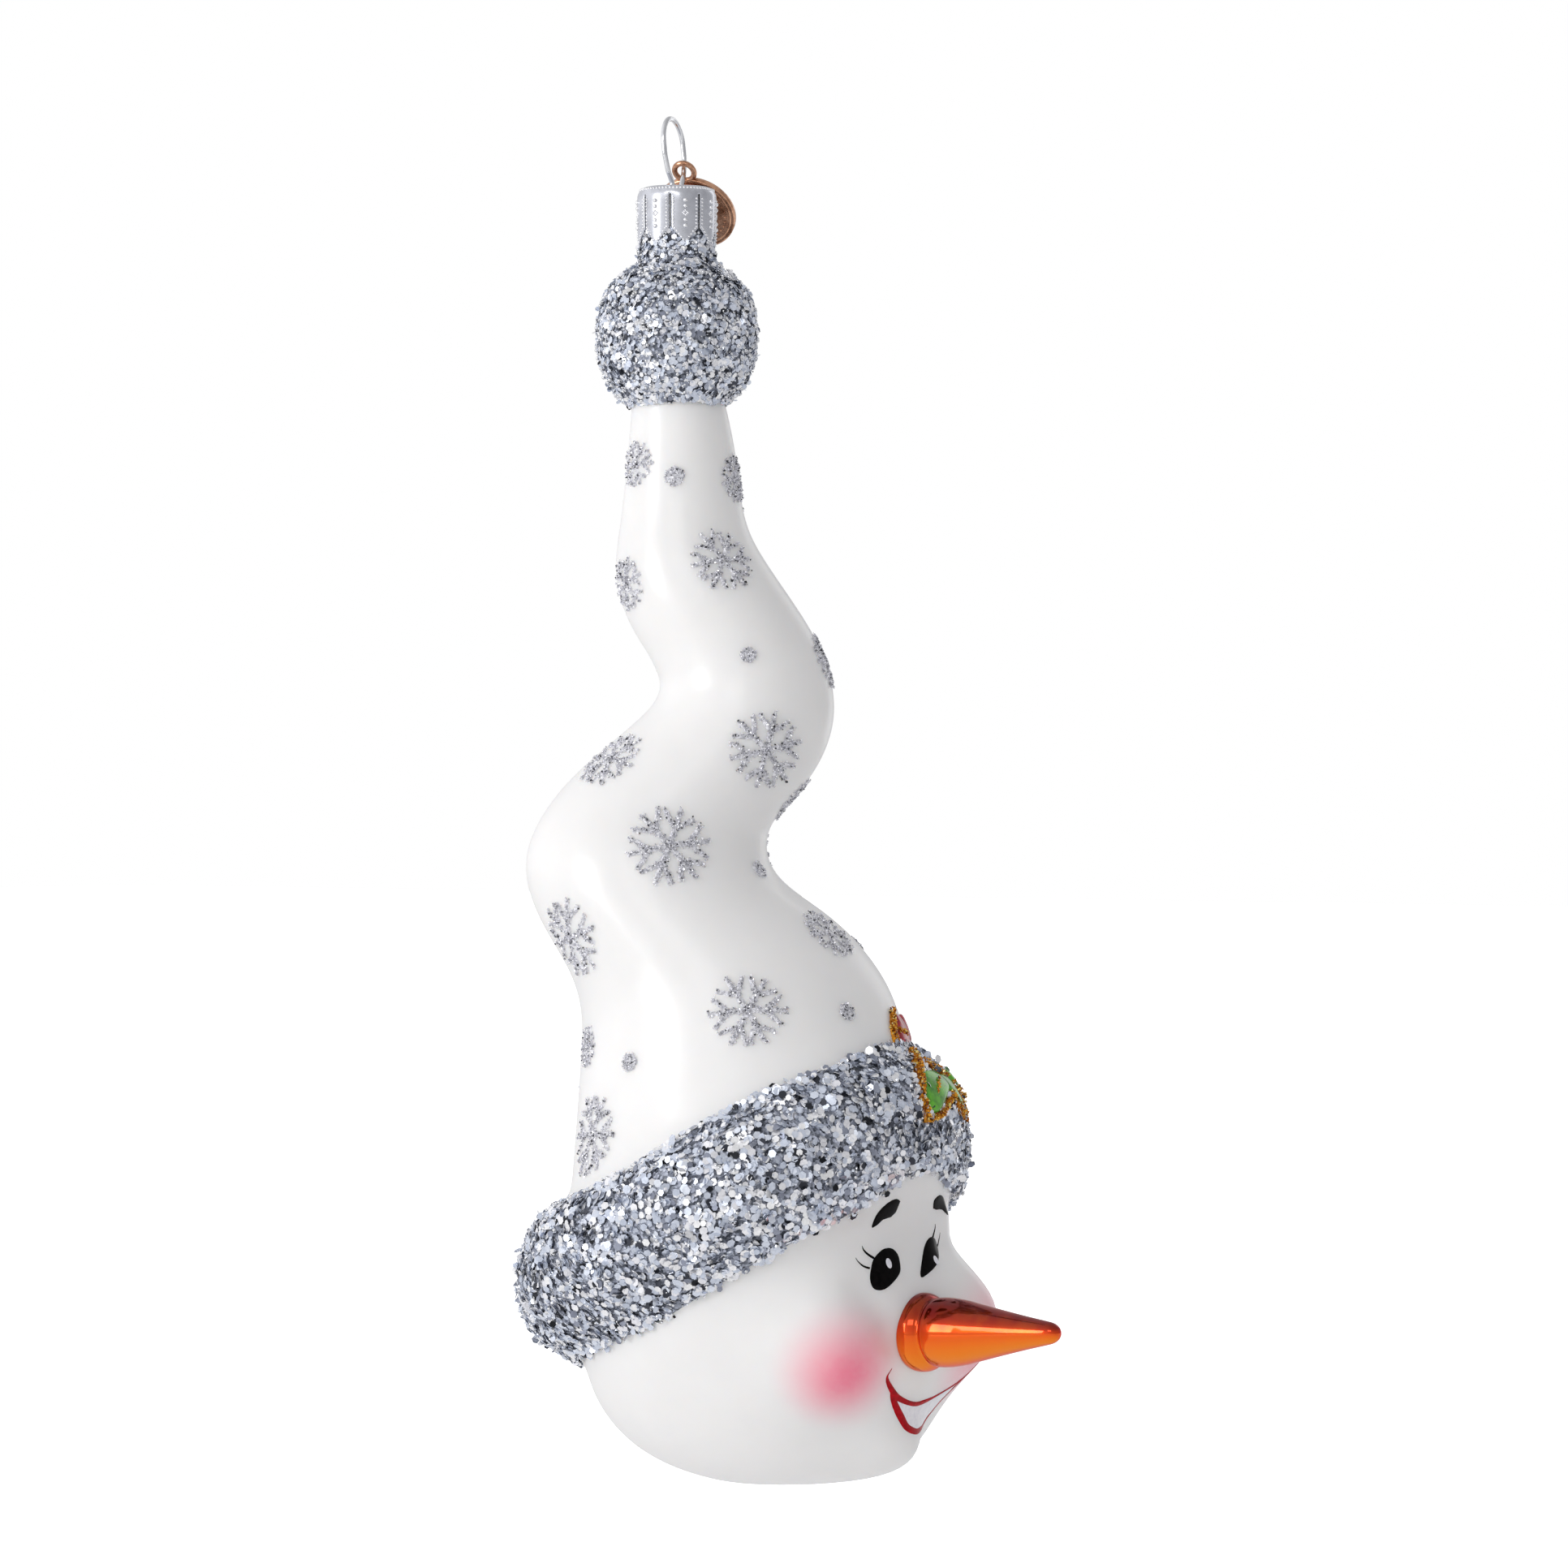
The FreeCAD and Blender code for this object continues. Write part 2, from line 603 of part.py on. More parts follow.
# the band's edges, by turns round the skin and knots along it
COAT_HIGH = [(0.0, 40.4), (0.05, 40.6), (0.30, 40.6), (0.45, 41.6), (0.56, 42.5), (0.60, 42.7), (0.66, 42.6), (0.68, 42.0), (0.70, 41.65),
             (0.74, 40.9), (0.765, 40.6), (0.81, 40.55), (0.84, 40.4), (0.87, 39.9), (0.90, 39.5), (0.95, 39.6), (1.0, 40.4)]
COAT_LOW = [(0.0, 48.5), (0.035, 48.9), (0.08, 49.4), (0.12, 49.6), (0.50, 49.6), (0.53, 49.5), (0.62, 49.75), (0.66, 49.8), (0.70, 49.4),
            (0.745, 48.85), (0.79, 48.3), (0.82, 48.05), (0.85, 47.45), (0.877, 46.95), (0.90, 46.85), (0.92, 46.95), (0.936, 47.5), (0.96, 48.1), (1.0, 48.5)]
coat("bobble_coat", 4, 15, P("coat_bobble"), 2)
coat("cuff_coat", 42 - 1, 50, P("coat_cuff"), 2, COAT_HIGH, COAT_LOW)

# ---------------------------------------------------------------- relief on the skin


def settle(u, v, target):
    """Skin parameters of the point nearest to target, starting from (u, v)."""
    for _ in range(12):
        p, du, dv, n = skin_frame(u, v)
        a = [c / 2e-4 for c in du]
        b = [c / 2e-3 for c in dv]
        r = sub(target, p)
        aa = sum(x * x for x in a)
        bb = sum(x * x for x in b)
        ab = sum(a[i] * b[i] for i in range(3))
        ra = sum(r[i] * a[i] for i in range(3))
        rb = sum(r[i] * b[i] for i in range(3))
        det = aa * bb - ab * ab
        if abs(det) < 1e-12:
            break
        su = (ra * bb - rb * ab) / det
        sv = (rb * aa - ra * ab) / det
        u += max(-0.05, min(0.05, su))
        v = min(max(v + max(-1.0, min(1.0, sv)), 0.001), VMAX - 0.001)
        if abs(su) < 1e-6 and abs(sv) < 1e-5:
            break
    return u, v


def facets(verts, tris):
    fs = []
    for t in tris:
        a, b, c = (V3(*verts[k]) for k in t)
        fs.append(Part.Face(Part.makePolygon([a, b, c, a])))
    sh = Part.makeShell(fs)
    so = Part.makeSolid(sh)
    if so.Volume < 0:
        so.reverse()
    return so


def relief(centre_uv, turn, flat_pts, flat_tris, height, sink):
    """A thin plate that follows the skin: flat_pts are (x, y) about the centre,
    in a tangent frame turned by turn degrees, flat_tris their triangles."""
    u0, v0 = centre_uv
    p, du, dv, n = skin_frame(u0, v0)
    n = tuple(SIDE_F * c for c in n)
    up = (0.0, 0.0, 1.0)
    ey = unit(tuple(up[i] - n[i] * n[2] for i in range(3)))
    ex = cross(ey, n)
    ct, st = math.cos(math.radians(turn)), math.sin(math.radians(turn))
    top, low = [], []
    for x, y in flat_pts:
        a, b = x * ct - y * st, x * st + y * ct
        tgt = tuple(p[i] + ex[i] * a + ey[i] * b for i in range(3))
        u, v = settle(u0, v0, tgt)
        q, _, _, m = skin_frame(u, v)
        m = tuple(SIDE_F * c for c in m)
        top.append(tuple(q[i] + m[i] * height for i in range(3)))
        low.append(tuple(q[i] - m[i] * sink for i in range(3)))
    nb = len(flat_pts)
    verts = top + low
    tris = []
    edge = {}
    for a, b, c in flat_tris:
        tris.append((a, b, c))
        tris.append((nb + c, nb + b, nb + a))
        for e in ((a, b), (b, c), (c, a)):
            edge[e] = edge.get(e, 0) + 1
    for a, b in list(edge):
        if (b, a) not in edge:
            tris.append((b, a, nb + a))
            tris.append((b, nb + a, nb + b))
    return facets(verts, tris)


_p, _du, _dv, _n = skin_frame(0.0, 10.0)
_c = tuple(sum(skin(k / 8.0, 10.0)[i] for k in range(8)) / 8 for i in range(3))
SIDE_F = 1.0 if sum((_p[i] - _c[i]) * _n[i] for i in range(3)) > 0 else -1.0


def flake_plan(r):
    """Six arms from a small hub, each ending in a three-pronged fork."""
    w = 0.055 * r + 0.22
    pts, tris = [], []

    def add(x, y):
        pts.append((x, y))
        return len(pts) - 1
    hub = add(0, 0)
    rim = []
    hr = w / math.sin(math.radians(30)) * 1.0
    for k in range(6):
        a = math.radians(60 * k + 30)
        rim.append(add(hr * math.cos(a), hr * math.sin(a)))
    for k in range(6):
        tris.append((hub, rim[k - 1], rim[k]))
    for k in range(6):
        a = math.radians(60 * k)
        ax, ay = math.cos(a), math.sin(a)
        bx, by = -ay, ax

        def at(s, t):
            return add(ax * s + bx * t, ay * s + by * t)
        lo, hi = rim[k - 1], rim[k]
        cur = (lo, hi)
        for s in (0.33 * r, 0.52 * r):
            n0, n1 = at(s, -w), at(s, w)
            tris.extend([(cur[0], n0, n1), (cur[0], n1, cur[1])])
            cur = (n0, n1)
        j0, j1 = at(0.62 * r, -w * 0.8), at(0.62 * r, w * 0.8)
        tris.extend([(cur[0], j0, j1), (cur[0], j1, cur[1])])
        t0, t1 = at(r, -w * 0.8), at(r, w * 0.8)
        tris.extend([(j0, t0, t1), (j0, t1, j1)])
        for base0, base1, sg in ((cur[0], j0, -1), (j1, cur[1], 1)):
            fx, fy = 0.86 * r, sg * 0.40 * r
            d = (0.62, sg * 0.78)
            nx, ny = -d[1] * w * 0.85, d[0] * w * 0.85
            if sg < 0:
                e0, e1 = at(fx + nx * -1 * -1 * -1, fy - ny), at(fx + nx, fy + ny)
                tris.extend([(base0, e0, e1), (base0, e1, base1)])
            else:
                e0, e1 = at(fx - nx, fy - ny), at(fx + nx, fy + ny)
                tris.extend([(base0, e0, e1), (base0, e1, base1)])
    return pts, tris


def disc_plan(rx, ry, n=14, rings=2):
    pts, tris = [(0.0, 0.0)], []
    for j in range(1, rings + 1):
        for k in range(n):
            a = 2 * math.pi * k / n
            pts.append((rx * j / rings * math.cos(a), ry * j / rings * math.sin(a)))
    for k in range(n):
        tris.append((0, 1 + k, 1 + (k + 1) % n))
    for j in range(1, rings):
        a0, b0 = 1 + (j - 1) * n, 1 + j * n
        for k in range(n):
            m = (k + 1) % n
            tris.append((a0 + k, b0 + k, b0 + m))
            tris.append((a0 + k, b0 + m, a0 + m))
    return pts, tris


def fan_plan(outline, rings=1):
    n = len(outline)
    cx = sum(q[0] for q in outline) / n
    cy = sum(q[1] for q in outline) / n
    area = sum(outline[i][0] * outline[(i + 1) % n][1] - outline[(i + 1) % n][0] * outline[i][1] for i in range(n))
    o = list(outline) if area > 0 else list(reversed(outline))
    pts, tris = [(cx, cy)], []
    for j in range(1, rings + 1):
        f = j / float(rings)
        pts.extend([(cx + (q[0] - cx) * f, cy + (q[1] - cy) * f) for q in o])
    for k in range(n):
        tris.append((0, 1 + k, 1 + (k + 1) % n))
    for j in range(1, rings):
        a0, b0 = 1 + (j - 1) * n, 1 + j * n
        for k in range(n):
            m = (k + 1) % n
            tris.append((a0 + k, b0 + k, b0 + m))
            tris.append((a0 + k, b0 + m, a0 + m))
    return pts, tris


def strip_plan(line):
    """line: (x, y, half width) along the middle of a stroke or a leaf."""
    pts, tris = [], []
    n = len(line)
    for i in range(n):
        x, y, h = line[i]
        x0, y0, _ = line[max(i - 1, 0)]
        x1, y1, _ = line[min(i + 1, n - 1)]
        dx, dy = x1 - x0, y1 - y0
        m = math.hypot(dx, dy) or 1.0
        pts.append((x + dy / m * h, y - dx / m * h))
        pts.append((x - dy / m * h, y + dx / m * h))
    for i in range(n - 1):
        a, b, c, d = 2 * i, 2 * i + 1, 2 * i + 2, 2 * i + 3
        tris.append((a, c, d))
        tris.append((a, d, b))
    return pts, tris


def group(name, solids):
    for so in solids:
        if not so.isValid():
            print("bad solid in", name)
    return feature(name, solids[0] if len(solids) == 1 else Part.makeCompound(solids))


# snowflakes: turns round the skin, knots along it, radius, turn
FLAKES = [
    (0.94, 17.357, 3.6, 10),
    (0.8316, 19.964, 4.7, 5),
    (0.5847, 19.868, 3.9, 20),
    (0.9908, 23.155, 4.4, 0),
    (0.8232, 26.17, 5.6, 12),
    (0.5921, 27.213, 5, -10),
    (0.0012, 27.801, 4, 20),
    (0.7817, 29.948, 6, 8),
    (0.5933, 33.168, 5.6, 15),
    (0.9227, 33.858, 4.6, 0),
    (0.7622, 36.333, 5.6, 0),
    (0.551, 36.75, 3, 10),
    (0.5802, 39.271, 6, 5),
    (0.5961, 16.768, 3.4, 0),
    (0.1, 18.2, 3.8, 0),
    (0.34, 17.6, 4, 10),
    (0.22, 20.6, 4.4, 15),
    (0.4, 23.2, 4.6, 10),
    (0.2, 25.2, 5.2, 0),
    (0.33, 28.6, 5.4, 12),
    (0.07, 30.2, 5.2, 5),
    (0.22, 32.4, 5.6, 0),
    (0.43, 33, 4.6, 0),
    (0.12, 35.6, 5.6, 8),
    (0.33, 36.4, 5.6, 0),
    (0.065, 38.3, 3.9, 10),
    (0.22, 39.2, 5.6, 15),
    (0.45, 37.6, 4.4, 0),
    (0.37, 40.3, 4.6, 0),
]
DOTS = [
    (0.733, 17.205, 1.45),
    (0.772, 22.745, 1.15),
    (0.9229, 30.972, 1.35),
    (0.8678, 36.974, 1.35),
    (0.6339, 37.448, 1.35),
    (0.23, 18.2, 1.3),
    (0.13, 22, 1.2),
    (0.32, 21.2, 1.3),
    (0.3, 25.6, 1.2),
    (0.13, 27.4, 1.3),
    (0.42, 29.2, 1.2),
    (0.2, 29.6, 1.3),
    (0.13, 33, 1.2),
    (0.33, 33.2, 1.3),
    (0.03, 34.4, 1.3),
    (0.23, 36, 1.2),
    (0.43, 35.6, 1.2),
    (0.165, 37.6, 1.2),
    (0.32, 39, 1.2),
]
rh = P("relief")
sk = P("bond")
group("snowflakes", [relief((u, v), t, *flake_plan(r), rh, sk) for u, v, r, t in FLAKES])
group("glitter_dots", [relief((u, v), 0, *disc_plan(r, r, 10), rh, sk) for u, v, r in DOTS])

NOSE_BASE = (1.045, -45.097, -176.504)
# painted face: thin enamel that follows the skin
pt = P("paint")
EYES = [((0.853, 51.053), 8.0), ((0.9078, 51.067), -8.0)]
EYE_OUTLINES = [[(-0.08, 2.92), (1.79, 2.96), (2.84, 2.1), (3.01, 0.8), (2.6, -0.61), (0.91, -1.95), (-1.07, -2.89), (-2.69, -2.66), (-3.23, -1.32), (-2.84, 0.3), (-1.98, 1.76)], [(1.22, 2.95), (2.63, 2.69), (3.02, 1.47), (2.23, 0.02), (0.4, -1.36), (-1.55, -2.23), (-3.3, -2.74), (-3.45, -2.13), (-2.47, -0.48), (-1.24, 1.38), (-0.18, 2.4)]]
group("eyes", [relief(c[0], 0, *fan_plan(o, 2), pt, sk) for c, o in zip(EYES, EYE_OUTLINES)])
GLINTS = [(0.8564, 50.923), (0.9106, 51.163)]
group("eye_glints", [relief(c, 0, *disc_plan(0.5, 0.62, 12, 1), pt + 0.06, sk - pt - 0.02) for c in GLINTS])
BROW = [(-2.65, -1.69, 0.1), (-1.93, -0.95, 0.75), (-1.04, 0.05, 1.25), (0.1, 0.64, 1.6), (1.26, 0.83, 1.65), (2.38, 0.74, 1.0)]
BROW_FAR = [(-x, y, h) for x, y, h in BROW]
ROLL = 6.46
group("brows", [relief((0.8624, 48.694), ROLL, *strip_plan(BROW), pt, sk), relief((0.9388, 49.215), ROLL, *strip_plan(BROW_FAR), pt, sk)])
LASH = [[(1.37, -0.57, 0.24), (0.34, 0.18, 0.22), (-0.37, 0.99, 0.16), (-0.52, 1.72, 0.05)], [(0.26, -1.81, 0.2), (-0.92, -1.26, 0.17), (-1.69, -0.42, 0.1), (-1.96, 0.21, 0.04)]]
LASHES = [relief((0.8362, 50.484), ROLL, *strip_plan(s), pt, sk) for s in LASH]
LASHES += [relief((0.925, 50.5), ROLL, *strip_plan([(-x, y, h) for x, y, h in s]), pt, sk) for s in LASH]
group("lashes", LASHES)
MOUTH = (0.902, 54.285)
UPPER = [(-10.06, 6.84, 0.05), (-10.54, 5.98, 0.14), (-10.57, 5.32, 0.26), (-9.72, 4.15, 0.38), (-7.7, 2.21, 0.46), (-5.44, 1.08, 0.42), (-2.67, 0.28, 0.36), (0.0, 0.13, 0.36), (2.67, 0.28, 0.31), (5.44, 1.08, 0.26), (7.7, 2.21, 0.29), (9.72, 4.15, 0.24), (10.57, 5.32, 0.16), (10.54, 5.98, 0.09), (10.06, 6.84, 0.05)]
LOWER = [(-8.92, 2.99, 0.2), (-8.22, 1.88, 0.42), (-7.1, 0.41, 0.58), (-5.78, -1.27, 0.64), (-4.43, -2.75, 0.56), (-1.94, -3.76, 0.44), (0.0, -3.91, 0.44), (1.94, -3.76, 0.37), (4.43, -2.75, 0.35), (5.78, -1.27, 0.4), (7.1, 0.41, 0.36), (8.22, 1.88, 0.26), (8.92, 2.99, 0.12)]
group("mouth", [relief(MOUTH, ROLL, *strip_plan(UPPER), pt + 0.04, sk), relief(MOUTH, ROLL, *strip_plan(LOWER), pt + 0.04, sk)])
TEETH_TOP = [(-7.4, 1.76), (-5.92, 1.02), (-4.44, 0.49), (-2.96, 0.06), (-1.48, -0.09), (0.0, -0.17), (1.48, -0.09), (2.96, 0.06), (4.44, 0.49), (5.92, 1.02), (7.4, 1.76)]
TEETH_LOW = [(-7.4, 1.2), (-5.92, -0.69), (-4.44, -2.34), (-2.96, -2.95), (-1.48, -3.4), (0.0, -3.51), (1.48, -3.4), (2.96, -2.95), (4.44, -2.34), (5.92, -0.69), (7.4, 1.2)]



def ladder(top, low):
    """Triangles between two lines with as many points each."""
    pts, tris = [], []
    for a, b in zip(low, top):
        pts += [a, b]
    for k in range(len(top) - 1):
        i = 2 * k
        tris += [(i, i + 2, i + 3), (i, i + 3, i + 1)]
    return pts, tris


group("teeth", [relief(MOUTH, ROLL, *ladder(TEETH_TOP, TEETH_LOW), pt - 0.03, sk)])


# sprig in raised enamel, lying on the band's coat and the hat above it
SPRIG = (0.9203, 43.986)
PETAL_SEAT = (0.951, 39.022)
PETALS = [[(0.91, 3.46), (-0.02, 1.69), (-1.69, -0.03), (-1.65, -1.6), (1.91, -1.87), (4.25, -0.16), (4.48, 2.14)], [(3.6, -1.2), (4.4, 1.4), (6.0, 3.2), (7.6, 3.0), (7.2, 1.0), (5.6, -0.9)], [(5.6, -2.2), (8.0, -0.9), (10.4, -1.0), (11.2, -2.4), (9.0, -3.3), (6.8, -3.3)]]
LEAVES = [[(-0.01, 3.16), (-2.28, 1.48), (-3.35, -0.38), (-3.11, -1.97), (-1.56, -2.68), (0.67, -1.74), (3.05, -0.47), (5.64, 1.1), (4.65, 2.32), (2.84, 3.2)], [(3.6, 2.3), (5.2, 2.6), (7.4, 1.4), (9.2, -0.8), (9.8, -2.8), (8.2, -2.2), (6.2, -0.6), (4.4, 0.8)], [(10.6, 3.8), (12.8, 4.2), (14.6, 3.0), (15.6, 1.0), (13.4, 0.6), (11.4, 1.6)]]
GOLD = [[(2.05, 7.3, 0.5), (2.81, 6.36, 0.55), (0.57, 4.52, 0.55), (-2.08, 2.3, 0.5), (-3.74, 0.3, 0.5), (-3.98, -1.53, 0.5), (-4.12, -3.71, 0.45)], [(2.07, 1.91, 0.35), (0.3, 0.63, 0.45), (-0.7, -0.59, 0.3)], [(-2.95, -3.37, 0.3), (-0.73, -3.07, 0.45), (2.37, -1.79, 0.45), (5.6, -0.07, 0.4)], [(2.73, 5.08, 0.5), (3.94, 4.12, 0.5), (5.69, 3.23, 0.45), (7.49, 2.29, 0.4)], [(5.2, -0.4, 0.4), (7.4, -2.0, 0.4), (9.6, -3.8, 0.4)], [(10.2, -3.0, 0.35), (10.0, -0.6, 0.4), (8.4, 1.6, 0.4)], [(10.6, 0.9, 0.4), (13.2, -0.1, 0.4), (16.0, 0.4, 0.35)]]
GOLD_ON_HAT = [[(0.57, 4.12, 0.2), (-1.17, 2.55, 0.45), (-2.95, 0.87, 0.5), (-4.06, -0.84, 0.5), (-4.18, -2.63, 0.45)], [(-1.22, 0.59, 0.4), (1.7, 0.08, 0.4)]]
up0 = P("coat_cuff")
group("holly_petals", [relief(PETAL_SEAT, 0, *fan_plan(s, 2), rh + 0.1, sk) for s in PETALS])
group("holly_leaves", [relief(SPRIG, 0, *fan_plan(s, 2), up0 + rh, 0.1 - up0) for s in LEAVES])
OUTLINES = [relief(SPRIG, 0, *strip_plan(s), up0 + rh + 0.1, 0.1 - up0) for s in GOLD]
OUTLINES += [relief(PETAL_SEAT, 0, *strip_plan(s), rh + 0.3, sk) for s in GOLD_ON_HAT]
group("holly_outline", OUTLINES)

# ---------------------------------------------------------------- nose
# A hollow glass cone with a flared, rolled rim, closed at the tip, bonded to
# the face. Turned about local +Z.
nose = doc.addObject("PartDesign::Body", "nose")
nsk = sketch(nose, "nose_section", "XZ_Plane", [[
    (S + "nose_rim_r-0.55", "-0.7"),
    (S + "nose_rim_r-0.12", "-0.45"),
    (S + "nose_rim_r", "0.35"),
    (S + "nose_rim_r-0.05", "1.25"),
    (S + "nose_rim_r-0.45", "2.15"),
    (S + "nose_rim_r-0.82", "2.75"),
    (S + "nose_rim_r-0.80", "3.4"),
    (S + "nose_rim_r-0.66", "4.3"),
    (S + "nose_rim_r-0.80", "6.5"),
    (S + "nose_rim_r-1.50", S + "nose_len*0.42"),
    (S + "nose_rim_r-2.45", S + "nose_len*0.6"),
    (S + "nose_rim_r-3.25", S + "nose_len*0.76"),
    (S + "nose_rim_r-3.85", S + "nose_len*0.89"),
    (S + "nose_tip_r*1.12", S + "nose_len-" + S + "nose_tip_r*0.9"),
    (S + "nose_tip_r*0.72", S + "nose_len-" + S + "nose_tip_r*0.32"),
    (S + "nose_tip_r*0.3", S + "nose_len-0.05"),
    ("0", S + "nose_len"),
    ("0", S + "nose_len-" + S + "nose_wall-0.3"),
    (S + "nose_tip_r*0.6", S + "nose_len-" + S + "nose_wall-0.9"),
    (S + "nose_rim_r-3.85-" + S + "nose_wall*0.9", S + "nose_len*0.88"),
    (S + "nose_rim_r-3.25-" + S + "nose_wall", S + "nose_len*0.75"),
    (S + "nose_rim_r-2.45-" + S + "nose_wall", S + "nose_len*0.6"),
    (S + "nose_rim_r-1.50-" + S + "nose_wall", S + "nose_len*0.42"),
    (S + "nose_rim_r-0.80-" + S + "nose_wall", "6.5"),
    (S + "nose_rim_r-0.82-" + S + "nose_wall", "3.2"),
    (S + "nose_rim_r-0.6-" + S + "nose_wall", "1.6"),
    (S + "nose_rim_r-" + S + "nose_wall-0.35", "-0.6"),
]])
nrev = nose.newObject("PartDesign::Revolution", "nose_cone")
nrev.Profile = nsk
nrev.ReferenceAxis = (nsk, ["V_Axis"])
nrev.Angle = 360
nose.Tip = nrev
doc.recompute()
NP = math.radians(P("nose_pitch"))
ndir = V3(0, -math.cos(NP), math.sin(NP))
nup = V3(0, math.sin(NP), math.cos(NP))
nose.Placement = FreeCAD.Placement(V3(*NOSE_BASE), FreeCAD.Rotation(nup.cross(ndir), nup, ndir, "ZYX"))
keep(nose, "nose")

# ---------------------------------------------------------------- checks and files
doc.recompute()
bad = []
for o in doc.Objects:
    st = set(o.State)
    if "Invalid" in st or "Error" in st:
        bad.append((o.Name, o.State))
for o in PARTS:
    if o.Shape.isNull() or not o.Shape.isValid():
        bad.append((o.Label, "shape"))
if bad:
    raise RuntimeError("failed objects: %r" % bad)
os.makedirs("parts", exist_ok=True)
for o in PARTS:
    o.Shape.exportStep("parts/" + o.Label + ".step")
    bb = o.Shape.BoundBox
    print("%-14s solids %2d  vol %9.2f  z %.1f..%.1f" % (o.Label, len(o.Shape.Solids), o.Shape.Volume, bb.ZMin, bb.ZMax))
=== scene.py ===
import bpy
import math
import numpy as np
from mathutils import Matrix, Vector


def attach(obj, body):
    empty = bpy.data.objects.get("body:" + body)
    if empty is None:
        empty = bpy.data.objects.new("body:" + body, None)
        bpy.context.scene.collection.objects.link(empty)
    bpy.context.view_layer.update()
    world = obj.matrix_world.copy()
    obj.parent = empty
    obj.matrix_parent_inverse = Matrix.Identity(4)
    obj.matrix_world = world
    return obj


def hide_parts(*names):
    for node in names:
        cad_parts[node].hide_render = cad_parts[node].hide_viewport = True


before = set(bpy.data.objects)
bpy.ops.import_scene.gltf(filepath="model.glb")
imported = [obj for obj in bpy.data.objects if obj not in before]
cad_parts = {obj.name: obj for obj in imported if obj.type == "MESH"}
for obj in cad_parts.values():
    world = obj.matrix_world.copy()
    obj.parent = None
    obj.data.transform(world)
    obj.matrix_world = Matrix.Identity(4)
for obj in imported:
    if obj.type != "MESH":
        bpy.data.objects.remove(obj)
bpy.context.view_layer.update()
SC = bpy.context.scene
MM = 0.001
RNG = np.random.default_rng(20240611)

# ------------------------------------------------------------------ the figure's skin
# Rings of control points, the same surface as the CAD model's: millimetres in a
# frame turned about Z, u to the right, w away, with the neck's axis at its middle.
NECK_X, NECK_Y = 0.252, -0.823
YAW = math.radians(-52.0)
RU = np.array([math.cos(YAW), math.sin(YAW)])
RW = np.array([-math.sin(YAW), math.cos(YAW)])
NR = 48
NECK = np.array([
    (4.95, -10.7),
    (5.15, -11.6),
    (5.12, -13.4),
    (5, -15.6),
    (4.9, -17.8),
    (4.86, -19.6),
    (5, -21),
    (5.9, -22.2),
    (8.2, -23.6),
    (10.1, -25.8),
    (11, -28.8),
    (11.15, -32.1),
    (10.85, -35.4),
    (9.8, -38.2),
    (8.2, -40.2),
    (6.95, -41.6),
])
